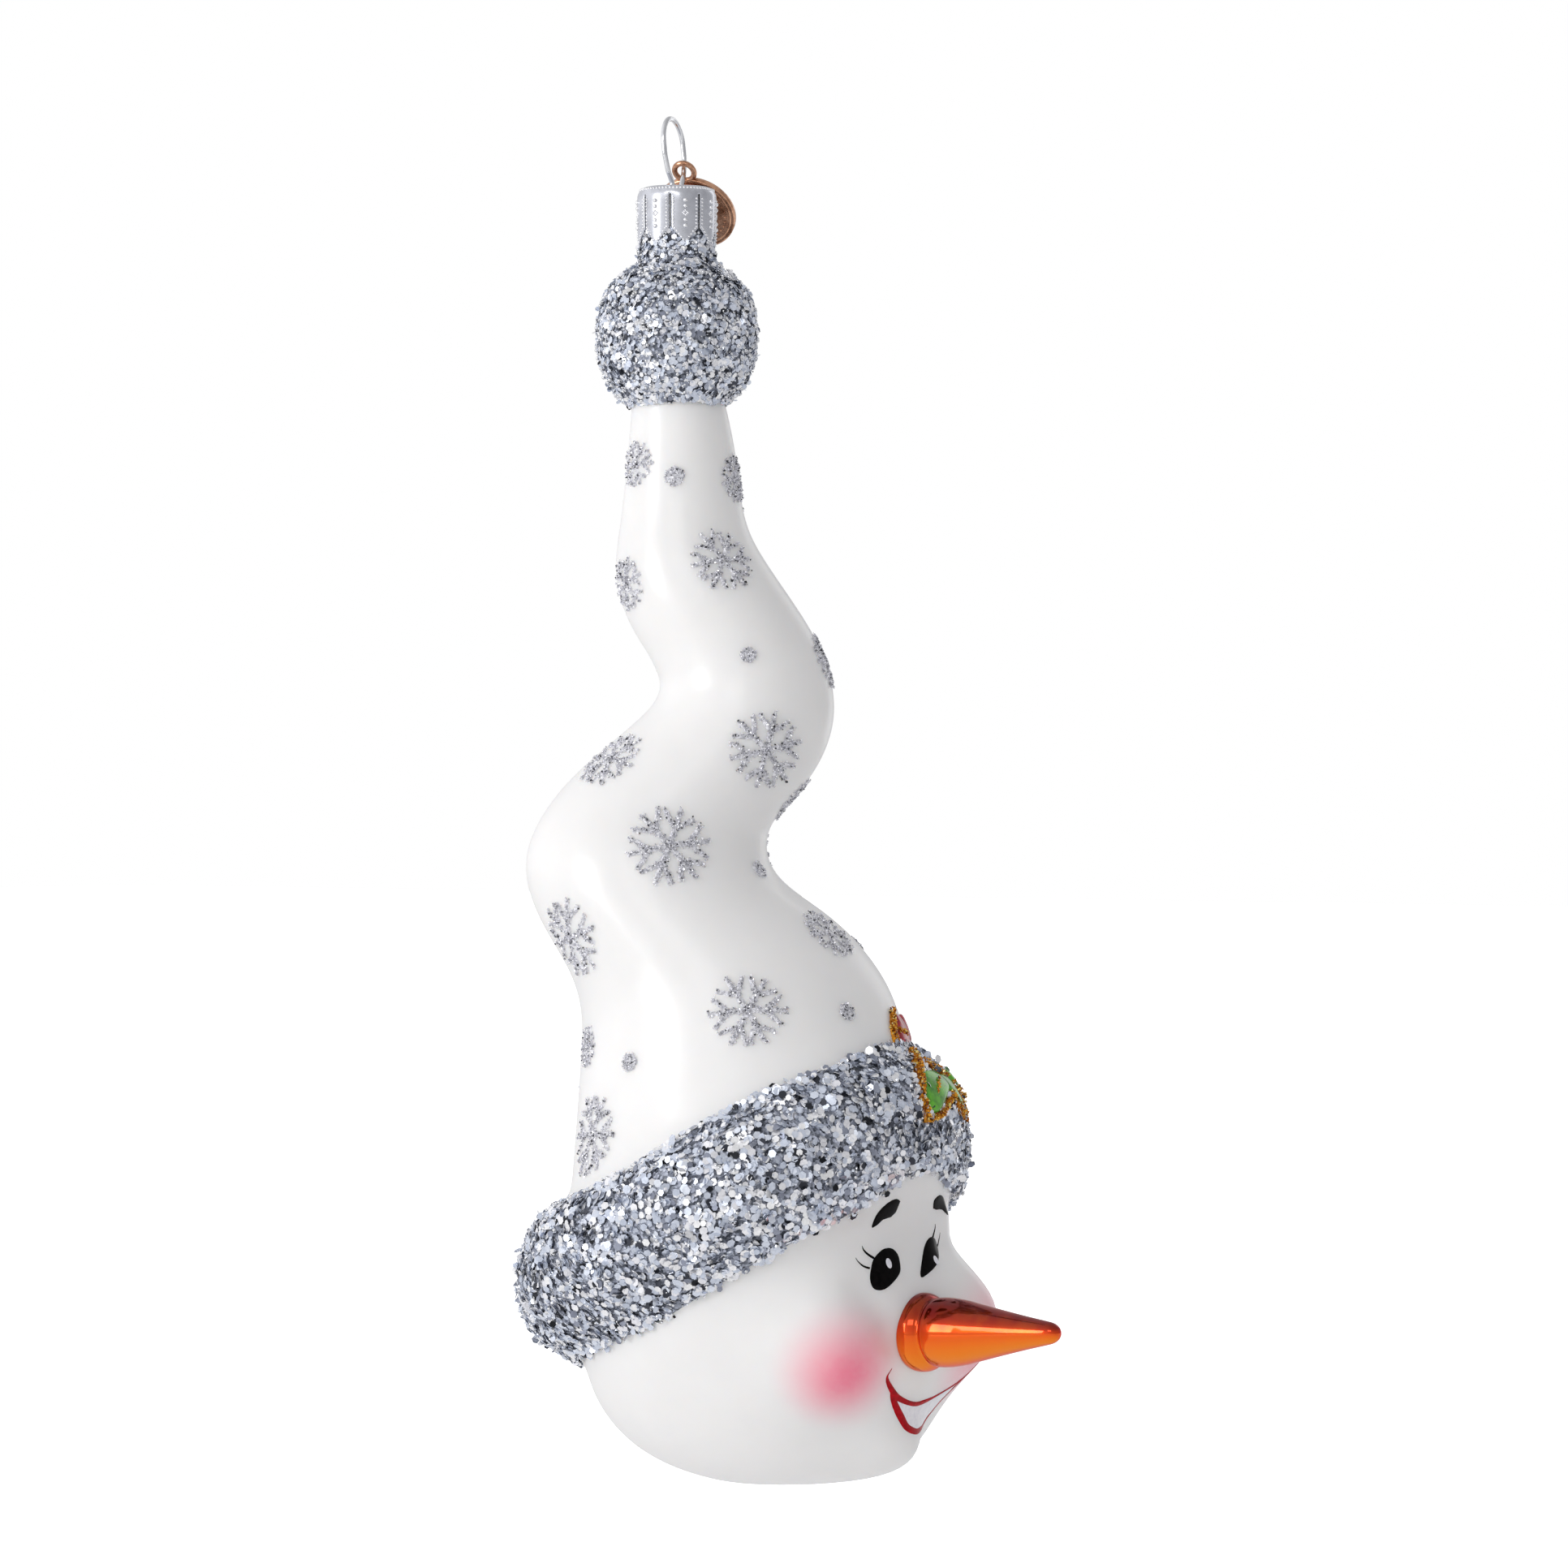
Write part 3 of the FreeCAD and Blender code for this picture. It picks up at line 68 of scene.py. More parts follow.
RINGS = [
    (-6.6, -42.42, 7.2, -41.94, 0, 0, 1),
    (-7.09, -46.84, 8.16, -46.12, 0.3, 0, 1),
    (-7.57, -52.23, 9, -51.15, 0.5, 0, 1),
    (-8.18, -58.23, 9.48, -56.19, 0.6, 0, 1),
    (-9.25, -64.84, 10.44, -60.28, 0.4, 0, 1),
    (-8.88, -69.66, 12.12, -63.66, 0, 0, 1),
    (-6.95, -74.71, 15.36, -68.47, -0.4, 0, 1),
    (-4.18, -78.8, 19.2, -74, -0.8, 0, 0.98),
    (-2.62, -81.92, 21.83, -79.04, -1.1, 0, 0.96),
    (-2.37, -84.32, 23.27, -84.08, -1.4, 0, 0.95),
    (-3.8, -86.72, 23.38, -88.88, -1.7, 0, 0.94),
    (-6.9, -89.6, 21.83, -93.67, -2.1, 0, 0.93),
    (-11.08, -93.07, 19.43, -97.62, -2.5, 0, 0.92),
    (-15.61, -97.02, 16.32, -100.85, -2.9, 0, 0.92),
    (-19.54, -101.81, 13.69, -104.08, -3.3, 0, 0.93),
    (-22.03, -106.82, 13.09, -107.3, -3.7, 0, 0.95),
    (-22.37, -111.36, 14.05, -110.64, -4.1, 0, 0.96),
    (-21.16, -115.77, 16.91, -113.5, -4.5, 0, 0.96),
    (-19, -119.93, 21.33, -116.35, -4.9, 0, 0.96),
    (-16.6, -123.74, 25.62, -119.92, -5.3, 0, 0.97),
    (-14.67, -127.66, 29.07, -124.08, -5.7, 1, 0.98),
    (-13.71, -132.41, 31.33, -127.76, -6.1, 2, 1),
    (-14.05, -138.35, 32.51, -130.97, -6.5, 4, 1),
    (-14.39, -144.28, 33.34, -133.21, -6.9, 6, 1),
    (-14.86, -150.21, 34.04, -135.1, -7.2, 8, 1),
    (-15.2, -154.95, 34.63, -136.75, -7.5, 9, 1),
    (-15.44, -157.68, 35.23, -137.7, -7.6, 9.4, 1),
    (-16.5, -159.58, 36.53, -139.12, -7.7, 9.4, 1),
    (-19.12, -162.19, 38.91, -141.03, -7.7, 9.4, 1),
    (-21.5, -165.64, 40.93, -143.88, -7.7, 9.4, 1),
    (-22.45, -169.8, 41.88, -147.8, -7.7, 9.4, 1),
    (-22.21, -173.97, 42.12, -151.97, -7.7, 9.4, 1),
    (-20.67, -177.65, 41.76, -155.53, -7.7, 9.4, 1),
    (-17.22, -180.27, 40.81, -158.03, -7.7, 9.4, 1),
    (-14.36, -181.69, 40.1, -159.58, -7.7, 9.4, 1),
    (-13.17, -183.84, 40.1, -161.72, -7.7, 9.4, 1),
    (-12.46, -186.45, 40.34, -166.24, -7.7, 9.4, 1),
    (-11.03, -189.42, 40.57, -172.42, -7.7, 9, 1),
    (-8.66, -192.63, 40.34, -179.55, -7.7, 8, 1),
    (-5.09, -195.73, 38.91, -186.21, -7.7, 7, 1),
    (-0.57, -198.1, 37.24, -191.68, -7.7, 6, 1),
    (4.66, -199.77, 33.91, -196.56, -7.7, 5, 1),
    (10.13, -200.72, 29.16, -199.29, -7.7, 4, 1),
    (18.09, -200.6, 19.29, -200.6, -7.7, 0, 1),
]
SWELL = [
    ((22.06, -33.88, -179.3), (0.422, -0.905, -0.05), 7.6, 6.3),
    ((38.27, -13.13, -175.6), (0.982, -0.191, 0.0), 9.4, 6.5),
    ((32.65, -25.45, -176.5), (0.788, -0.616, 0.0), 3, 5),
    ((29.89, -23.3, -193.6), (0.755, -0.59, -0.287), 3.2, 4),
    ((32.94, -21.51, -200.0), (0.832, -0.5, -0.243), 7.4, 5),
    ((33.44, -26.07, -163.0), (0.788, -0.616, 0.0), -0.9, 3.2),
    ((40.63, -10.84, -164.8), (0.995, -0.105, 0.0), -3.9, 3.3),
]


def place(p):
    p = np.asarray(p, float)
    return np.stack([p[..., 0] * RU[0] + p[..., 1] * RW[0] + NECK_X,
                     p[..., 0] * RU[1] + p[..., 1] * RW[1] + NECK_Y, p[..., 2]], -1)


def control_grid():
    th = 2 * np.pi * np.arange(NR) / NR
    rows = [np.stack([r * np.cos(th), r * np.sin(th), np.full(NR, z)], -1) for r, z in NECK]
    for u0, z0, u1, z1, w, droop, ratio in RINGS:
        c = np.array([(u0 + u1) / 2, w, (z0 + z1) / 2])
        e1 = np.array([(u1 - u0) / 2, 0, (z1 - z0) / 2])
        b = np.hypot(e1[0], e1[2]) * ratio
        e2 = np.array([0, b * math.cos(math.radians(droop)), -b * math.sin(math.radians(droop))])
        rows.append(c + np.cos(th)[:, None] * e1 + np.sin(th)[:, None] * e2)
    g = np.array(rows)
    out = g.copy()
    for c, d, a, sp in SWELL:
        q = (g - np.array(c)) / sp
        out += (a * np.exp(-0.5 * (q ** 2).sum(-1)))[..., None] * np.array(d)
    return place(out)


FOLDS = [(np.array(c), np.array(d), a, s) for c, d, a, s in [
    ((-11.12, -42.95, -170.02), (-0.338, -0.941, 0.015), -0.34, 1.9),
    ((-9.83, -43.71, -170.99), (-0.296, -0.955, 0.008), -0.34, 1.9),
    ((-8.48, -44.42, -172.31), (-0.253, -0.967, -0.002), -0.34, 1.9),
    ((-7.31, -44.98, -173.86), (-0.216, -0.976, -0.014), -0.34, 1.9),
    ((-6.28, -45.36, -175.76), (-0.185, -0.982, -0.028), -0.34, 1.9),
    ((-5.25, -45.45, -177.68), (-0.155, -0.987, -0.042), -0.34, 1.9),
    ((-4.15, -45.2, -179.63), (-0.124, -0.991, -0.057), -0.34, 1.9),
    ((9.23, -43.96, -164.93), (0.277, -0.959, 0.053), -1.1, 2.4),
    ((6.26, -40.3, -193.86), (0.212, -0.959, -0.185), 0.9, 3.2),
    ((8.73, -41.13, -189.47), (0.284, -0.948, -0.142), -0.9, 5.0),
    ((12.1, -41.14, -160.94), (0.382, -0.92, 0.087), 0.8, 2.2),
    ((-4.25, -43.84, -182.95), (-0.132, -0.988, -0.085), -0.25, 1.5),
]]


GRID = control_grid()
NV = len(GRID)
VMAX = float(NV - 3)
KV = np.array([0.0] * 3 + list(range(NV - 2)) + [VMAX] * 3, float)


def basis_v(v):
    v = np.clip(np.asarray(v, float), 0, VMAX - 1e-9)
    k = 3 + v.astype(int)
    b = [np.ones_like(v)]
    slope = None
    for d in range(1, 4):
        nb = [np.zeros_like(v) for _ in range(d + 1)]
        if d == 3:
            slope = [np.zeros_like(v) for _ in range(4)]
        for j in range(d):
            i = k - d + 1 + j
            den = np.maximum(KV[i + d] - KV[i], 1e-12)
            t = (v - KV[i]) / den
            nb[j] = nb[j] + b[j] * (1 - t)
            nb[j + 1] = nb[j + 1] + b[j] * t
            if d == 3:
                slope[j] = slope[j] - 3 * b[j] / den
                slope[j + 1] = slope[j + 1] + 3 * b[j] / den
        b = nb
    return k - 3, np.stack(b, -1), np.stack(slope, -1)


def skin_all(u, v):
    u, v = np.broadcast_arrays(np.asarray(u, float), np.asarray(v, float))
    f = (u % 1.0) * NR
    j = np.floor(f).astype(int)
    t = f - j
    bu = np.stack([(1 - t) ** 3 / 6, (3 * t ** 3 - 6 * t * t + 4) / 6, (-3 * t ** 3 + 3 * t * t + 3 * t + 1) / 6, t ** 3 / 6], -1)
    su = NR * np.stack([-(1 - t) ** 2 / 2, (9 * t * t - 12 * t) / 6, (-9 * t * t + 6 * t + 3) / 6, t * t / 2], -1)
    k, bv, sv = basis_v(v)
    C = GRID[(k[..., None] + np.arange(4))[..., :, None], ((j[..., None] - 1 + np.arange(4)) % NR)[..., None, :]]
    rows = np.einsum("...b,...abc->...ac", bu, C)
    p = np.einsum("...a,...ac->...c", bv, rows)
    dv = np.einsum("...a,...ac->...c", sv, rows)
    du = np.einsum("...a,...b,...abc->...c", bv, su, C, optimize=True)
    q, qu, qv = p.copy(), du.copy(), dv.copy()
    for c, d, amp, s in FOLDS:
        r = (p - c) / s
        e = amp * np.exp(-0.5 * (r * r).sum(-1))
        q += e[..., None] * d
        qu += (-(r * du).sum(-1) / s * e)[..., None] * d
        qv += (-(r * dv).sum(-1) / s * e)[..., None] * d
    return q, qu, qv


def skin(u, v):
    return skin_all(u, v)[0]


def unit(a):
    return a / (np.linalg.norm(a, axis=-1, keepdims=True) + 1e-12)


def skin_frame(u, v):
    p, du, dv = skin_all(u, np.clip(np.asarray(v, float), 1e-4, VMAX - 1e-4))
    return p, du, dv, unit(np.cross(dv, du)) * SIGN


SIGN = 1.0
_p, _, _, _n = skin_frame(np.array(0.0), np.array(10.0))
if ((_p - skin(np.arange(8) / 8, 10.0).mean(0)) * _n).sum() < 0:
    SIGN = -1.0


def settle(u0, v0, target):
    """Skin parameters of the points nearest to the targets."""
    target = np.asarray(target, float)
    u = np.full(target.shape[:-1], float(u0))
    v = np.full(target.shape[:-1], float(v0))
    for _ in range(12):
        p, du, dv = skin_all(u, v)
        r = target - p
        aa, bb, ab = (du * du).sum(-1), (dv * dv).sum(-1), (du * dv).sum(-1)
        ra, rb = (r * du).sum(-1), (r * dv).sum(-1)
        det = aa * bb - ab * ab + 1e-9
        su = np.clip((ra * bb - rb * ab) / det, -0.05, 0.05)
        sv = np.clip((rb * aa - ra * ab) / det, -1, 1)
        u = u + su
        v = np.clip(v + sv, 0.001, VMAX - 0.001)
        if su.size == 0 or (np.abs(su).max() < 2e-6 and np.abs(sv).max() < 2e-5):
            break
    return u, v


def drop(u0, v0, ex, ey, a, b):
    """Skin parameters of the points that lie over (a, b) of the seat's plane."""
    p0 = skin(np.array(u0), np.array(v0))
    u, v = settle(u0, v0, p0 + ex * a[..., None] + ey * b[..., None])
    for _ in range(10):
        p, du, dv = skin_all(u, v)
        r = p0 - p
        ra, rb = (r * ex).sum(-1) + a, (r * ey).sum(-1) + b
        xu, xv, yu, yv = (du * ex).sum(-1), (dv * ex).sum(-1), (du * ey).sum(-1), (dv * ey).sum(-1)
        det = xu * yv - xv * yu
        big = np.linalg.norm(np.cross(du, dv), axis=-1)
        ok = np.abs(det) > 0.25 * big
        det = np.where(ok, det, 1.0)
        su = np.where(ok, (ra * yv - rb * xv) / det, 0)
        sv = np.where(ok, (rb * xu - ra * yu) / det, 0)
        u = u + np.clip(su, -0.02, 0.02)
        v = np.clip(v + np.clip(sv, -0.5, 0.5), 0.001, VMAX - 0.001)
        if su.size == 0 or (np.abs(su).max() < 2e-6 and np.abs(sv).max() < 2e-5):
            break
    return u, v


def on_skin(seat, turn, xy, lift):
    """Points (x, y) in a plane that touches the skin at seat, laid onto the
    skin and raised by lift."""
    u0, v0 = seat
    p, _, _, n = skin_frame(np.array(u0), np.array(v0))
    ey = unit(np.array([0, 0, 1.0]) - n * n[2])
    ex = np.cross(ey, n)
    c, s = math.cos(math.radians(turn)), math.sin(math.radians(turn))
    xy = np.asarray(xy, float)
    a, b = xy[..., 0] * c - xy[..., 1] * s, xy[..., 0] * s + xy[..., 1] * c
    u, v = drop(u0, v0, ex, ey, a, b)
    q, _, _, m = skin_frame(u, v)
    return q + m * np.asarray(lift, float)[..., None], m


# ------------------------------------------------------------------ meshes
def make(name, verts, faces, body, mats, smooth=True, face_mat=None, tone=None, values=None):
    me = bpy.data.meshes.new(name)
    me.from_pydata((np.asarray(verts) * MM).tolist(), [], [list(map(int, f)) for f in faces])
    me.validate(verbose=False)
    if tone is not None and len(me.polygons) == len(tone):
        at = me.attributes.new("tone", "FLOAT_COLOR", "FACE")
        t = np.asarray(tone, float)
        at.data.foreach_set("color", np.concatenate([t, np.ones((len(t), 1))], 1).ravel())
    for key, val in (values or {}).items():
        at = me.attributes.new(key, "FLOAT", "POINT")
        at.data.foreach_set("value", np.asarray(val, float).ravel())
    for m in (mats if isinstance(mats, (list, tuple)) else [mats]):
        me.materials.append(m)
    if face_mat is not None:
        me.polygons.foreach_set("material_index", np.asarray(face_mat, dtype=np.int32))
    me.polygons.foreach_set("use_smooth", [bool(smooth)] * len(me.polygons))
    me.update()
    o = bpy.data.objects.new(name, me)
    SC.collection.objects.link(o)
    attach(o, body)
    return o


class Build:
    """Collects pieces of one mesh."""

    def __init__(self):
        self.v, self.f, self.t, self.n = [], [], [], 0

    def add(self, verts, faces, tone=(0.8, 0.8, 0.8)):
        verts = np.asarray(verts, float).reshape(-1, 3)
        self.v.append(verts)
        self.f.extend([[i + self.n for i in f] for f in faces])
        self.t.extend([tone] * len(faces))
        self.n += len(verts)

    def verts(self):
        return np.concatenate(self.v, 0)


def grid_faces(rows, cols, wrap=False, flip=False):
    out = []
    for i in range(rows - 1):
        for j in range(cols if wrap else cols - 1):
            k = (j + 1) % cols
            q = [i * cols + j, i * cols + k, (i + 1) * cols + k, (i + 1) * cols + j]
            out.append(q[::-1] if flip else q)
    return out


def lathe(profile, n, base=(0, 0, 0), ex=(1, 0, 0), ey=(0, 1, 0), ez=(0, 0, 1)):
    pr = np.asarray(profile, float)
    th = 2 * np.pi * np.arange(n) / n
    ex, ey, ez, base = (np.asarray(q, float) for q in (ex, ey, ez, base))
    ring = np.cos(th)[:, None] * ex + np.sin(th)[:, None] * ey
    v = base + pr[:, 0, None, None] * ring[None] + pr[:, 1, None, None] * ez
    return v.reshape(-1, 3), grid_faces(len(pr), n, wrap=True)


def smooth_line(pts, per, closed=False):
    """Catmull-Rom through the points."""
    p = np.asarray(pts, float)
    n = len(p)
    out = []
    t = np.arange(per) / per
    for i in range(n if closed else n - 1):
        if closed:
            a, b, c, d = p[(i - 1) % n], p[i], p[(i + 1) % n], p[(i + 2) % n]
        else:
            a, b, c, d = p[max(i - 1, 0)], p[i], p[i + 1], p[min(i + 2, n - 1)]
        for s in t:
            out.append(0.5 * ((2 * b) + (c - a) * s + (2 * a - 5 * b + 4 * c - d) * s * s + (3 * b - a - 3 * c + d) * s ** 3))
    if not closed:
        out.append(p[-1])
    return np.array(out)


# ------------------------------------------------------------------ materials
def srgb(r, g, b):
    f = lambda c: c / 12.92 if c <= 0.04045 else ((c + 0.055) / 1.055) ** 2.4
    return (f(r), f(g), f(b), 1.0)


class Mat:
    def __init__(self, name):
        self.m = bpy.data.materials.new(name)
        self.m.use_nodes = True
        self.nt = self.m.node_tree
        self.b = self.nt.nodes["Principled BSDF"]

    def node(self, kind, **kw):
        n = self.nt.nodes.new(kind)
        for k, v in kw.items():
            setattr(n, k, v)
        return n

    def link(self, a, b):
        self.nt.links.new(a, b)

    def set(self, **kw):
        for k, v in kw.items():
            self.b.inputs[k.replace("_", " ")].default_value = v
        return self

    def coords(self):
        return self.node("ShaderNodeTexCoord").outputs["Object"]

    def noise(self, scale, detail=3.0, rough=0.55):
        n = self.node("ShaderNodeTexNoise")
        n.inputs["Scale"].default_value = scale
        n.inputs["Detail"].default_value = detail
        n.inputs["Roughness"].default_value = rough
        self.link(self.coords(), n.inputs["Vector"])
        return n.outputs["Fac"]

    def voronoi(self, scale, out="Distance"):
        n = self.node("ShaderNodeTexVoronoi")
        n.inputs["Scale"].default_value = scale
        self.link(self.coords(), n.inputs["Vector"])
        return n.outputs[out]

    def ramp(self, fac, stops):
        n = self.node("ShaderNodeValToRGB")
        cr = n.color_ramp
        while len(cr.elements) < len(stops):
            cr.elements.new(0.5)
        for e, (p, c) in zip(cr.elements, stops):
            e.position = p
            e.color = c
        self.link(fac, n.inputs["Fac"])
        return n.outputs["Color"]

    def span(self, fac, a, b, c, d):
        n = self.node("ShaderNodeMapRange")
        for k, v in zip(("From Min", "From Max", "To Min", "To Max"), (a, b, c, d)):
            n.inputs[k].default_value = v
        self.link(fac, n.inputs["Value"])
        return n.outputs["Result"]

    def mix(self, fac, a, b, kind="MIX"):
        n = self.node("ShaderNodeMix", data_type="RGBA", blend_type=kind)
        for sock, val in ((n.inputs["Factor"], fac), (n.inputs["A"], a), (n.inputs["B"], b)):
            if isinstance(val, bpy.types.NodeSocket):
                self.link(val, sock)
            else:
                sock.default_value = val
        return n.outputs["Result"]

    def bump(self, height, strength, dist=0.0001):
        n = self.node("ShaderNodeBump")
        n.inputs["Strength"].default_value = strength
        n.inputs["Distance"].default_value = dist
        self.link(height, n.inputs["Height"])
        self.link(n.outputs["Normal"], self.b.inputs["Normal"])

    def attr(self, name, out="Color"):
        n = self.node("ShaderNodeAttribute", attribute_name=name)
        return n.outputs[out]


def mat_glass():
    m = Mat("opal_glass")
    m.set(Roughness=0.34, Coat_Weight=0.24, Coat_Roughness=0.14)
    m.b.inputs["Subsurface Weight"].default_value = 0.35
    m.b.inputs["Subsurface Radius"].default_value = (1.0, 0.85, 0.7)
    m.b.inputs["Subsurface Scale"].default_value = 0.0035
    base = m.ramp(m.noise(38.0, 4.0), [(0.35, srgb(0.940, 0.936, 0.930)), (0.65, srgb(0.965, 0.960, 0.953))])
    hot = m.attr("blush", "Fac")
    n = m.noise(900.0, 2.0)
    f = m.span(n, 0.3, 0.7, 0.96, 1.02)
    mul = m.node("ShaderNodeMath", operation="MULTIPLY", use_clamp=True)
    m.link(hot, mul.inputs[0])
    m.link(f, mul.inputs[1])
    c = m.mix(mul.outputs[0], base, srgb(1.0, 0.49, 0.60))
    m.link(c, m.b.inputs["Base Color"])
    m.bump(m.noise(160.0, 3.0), 0.12, 0.0004)
    return m.m


def mat_flake(name, tint=(1, 1, 1), rough=0.32, metal=0.85):
    m = Mat(name)
    t = m.attr("tone")
    n = m.noise(2600.0, 2.0)
    k = m.span(n, 0.3, 0.7, 0.90, 1.08)
    c = m.node("ShaderNodeVectorMath", operation="SCALE")
    m.link(t, c.inputs[0])
    m.link(k, c.inputs["Scale"])
    m.link(c.outputs["Vector"], m.b.inputs["Base Color"])
    m.set(Metallic=metal, Roughness=rough)
    m.bump(m.noise(3200.0, 2.0), 0.15, 0.00005)
    return m.m


def mat_bed(name, lo, hi, metal=0.4):
    """What shows between the flakes: glue full of broken glitter; a dark lo, as on the cuff and bobble, is also
    painted shade between the flakes.
    """
    m = Mat(name)
    c = m.ramp(m.voronoi(2300.0, "Color"), [(0.25, lo), (0.75, hi)])
    m.link(c, m.b.inputs["Base Color"])
    m.set(Metallic=metal, Roughness=0.4)
    m.bump(m.voronoi(2300.0), 0.9, 0.00025)
    return m.m


def mat_metal(name, col, rough, dark=None, wear=600.0):
    m = Mat(name)
    n = m.noise(wear, 4.0)
    if dark is None:
        dark = tuple(c * 0.82 for c in col[:3]) + (1.0,)
    m.link(m.ramp(n, [(0.35, dark), (0.62, col)]), m.b.inputs["Base Color"])
    r = m.span(n, 0.3, 0.7, rough * 1.35, rough * 0.8)
    m.link(r, m.b.inputs["Roughness"])
    m.set(Metallic=1.0)
    m.bump(m.noise(2500.0, 3.0), 0.10, 0.00004)
    return m.m


def mat_enamel(name, lo, hi, rough=0.16, scale=1400.0, coat=0.6):
    m = Mat(name)
    m.link(m.ramp(m.noise(scale, 3.0), [(0.35, lo), (0.65, hi)]), m.b.inputs["Base Color"])
    m.set(Roughness=rough, Coat_Weight=coat, Coat_Roughness=0.06)
    if coat < 0.15:
        m.b.inputs["IOR"].default_value = 1.14
    m.bump(m.noise(1100.0, 2.0), 0.18, 0.00006)
    return m.m


GLASS = mat_glass()
FLAKE = mat_flake("silver_flakes", rough=0.24, metal=0.62)
FINE = mat_flake("fine_silver_glitter", rough=0.24, metal=0.55)
GOLD_GRAIN = mat_flake("gold_glitter", rough=0.28, metal=0.6)
BEAD = mat_metal("silver_beads", (0.78, 0.79, 0.81, 1), 0.14)
# Painted shade: this bed's dark grey stands for the shade in the gaps between the cuff's and bobble's flakes.
BED_WITH_PAINTED_SHADE = mat_bed("glitter_bed", srgb(0.30, 0.32, 0.36), srgb(0.76, 0.78, 0.84))
GREY_BED = mat_bed("fine_glitter_bed", srgb(0.78, 0.78, 0.80), srgb(0.96, 0.96, 0.98), metal=0.1)
GOLD_BED = mat_bed("gold_glitter_bed", srgb(0.62, 0.34, 0.03), srgb(0.95, 0.64, 0.10))
TIN = mat_metal("bright_tin", (0.74, 0.755, 0.81, 1), 0.25)
# Painted highlight: the cap's embossed beads are the same tin as the cap, made brighter to stand for the light they
# catch.
TIN_BEAD_PAINTED_HIGHLIGHT = mat_metal("tin_beads_painted_highlight", (0.95, 0.95, 0.97, 1), 0.16)
WIRE = mat_metal("bright_wire", (0.82, 0.83, 0.85, 1), 0.16)
BRONZE = mat_metal("antique_bronze", srgb(0.90, 0.70, 0.57), 0.22, dark=srgb(0.56, 0.38, 0.28))
BLACK = mat_enamel("black_enamel", srgb(0.015, 0.013, 0.013), srgb(0.05, 0.04, 0.04), 0.12, coat=0.0)
WHITE = mat_enamel("white_enamel", srgb(0.90, 0.90, 0.93), srgb(0.95, 0.95, 0.97), 0.18)
RED = mat_enamel("red_enamel", srgb(0.60, 0.0, 0.05), srgb(0.74, 0.01, 0.09), 0.16, coat=0.1)
CRIMSON = mat_enamel("crimson_enamel", srgb(0.58, 0.02, 0.10), srgb(0.76, 0.06, 0.17), 0.2, coat=0.2)
GREEN = mat_enamel("green_enamel", srgb(0.22, 0.50, 0.05), srgb(0.40, 0.73, 0.14), 0.22, 700.0, coat=0.2)

# ------------------------------------------------------------------ glass body
def glass():
    cols, sub = 192, 6
    vv = np.arange(0, int(VMAX) * sub + 1) / sub
    uu = np.arange(cols) / cols
    V, U = np.meshgrid(vv, uu, indexing="ij")
    P = skin(U, np.clip(V, 0, VMAX - 1e-6))
    blush = np.zeros(P.shape[:2])
    for c, n, r0, r1, k in BLUSH:
        d = np.linalg.norm(P - np.array(c), axis=-1)
        t = np.clip((d - r0) / (r1 - r0), 0, 1)
        blush = np.maximum(blush, k * (1 - t * t * (3 - 2 * t)))
    rows = len(vv)
    verts = P.reshape(-1, 3)
    faces = grid_faces(rows, cols, wrap=True, flip=SIGN < 0)
    # rolled rim and bore at the neck
    top = P[0]
    cx = np.array([NECK_X, NECK_Y])
    rims = []
    for r, dz in ((4.85, 0.05), (4.6, 0.09), (4.35, 0.03), (4.26, -0.3), (4.25, -3.0), (4.2, -8.0)):
        k = unit(top[:, :2] - cx)
        rims.append(np.concatenate([cx + k * r, top[:, 2:] + dz], 1))
    rv = np.concatenate([top[None]] + [q[None] for q in rims], 0)
    b = Build()
    b.add(verts, faces)
    b.add(rv.reshape(-1, 3), grid_faces(len(rv), cols, wrap=True, flip=SIGN > 0))
    last = (rows - 1) * cols
    b.f.append([last + j for j in range(cols)])
    val = np.concatenate([blush.ravel(), np.zeros(rv.shape[0] * cols)])
    o = make("blown_glass_body", b.verts(), b.f, "figure", GLASS, values={"blush": val})
    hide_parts("glass_figure")
    return o


FLAKES = [
    (0.94, 17.357, 3.6, 10),
    (0.8316, 19.964, 4.7, 5),
    (0.5847, 19.868, 3.9, 20),
    (0.9908, 23.155, 4.4, 0),
    (0.8232, 26.17, 5.6, 12),
    (0.5921, 27.213, 5, -10),
    (0.0012, 27.801, 4, 20),
    (0.7817, 29.948, 6, 8),
    (0.5933, 33.168, 5.6, 15),
    (0.9227, 33.858, 4.6, 0),
    (0.7622, 36.333, 5.6, 0),
    (0.551, 36.75, 3, 10),
    (0.5802, 39.271, 6, 5),
    (0.5961, 16.768, 3.4, 0),
    (0.1, 18.2, 3.8, 0),
    (0.34, 17.6, 4, 10),
    (0.22, 20.6, 4.4, 15),
    (0.4, 23.2, 4.6, 10),
    (0.2, 25.2, 5.2, 0),
    (0.33, 28.6, 5.4, 12),
    (0.07, 30.2, 5.2, 5),
    (0.22, 32.4, 5.6, 0),
    (0.43, 33, 4.6, 0),
    (0.12, 35.6, 5.6, 8),
    (0.33, 36.4, 5.6, 0),
    (0.065, 38.3, 3.9, 10),
    (0.22, 39.2, 5.6, 15),
    (0.45, 37.6, 4.4, 0),
    (0.37, 40.3, 4.6, 0),
]
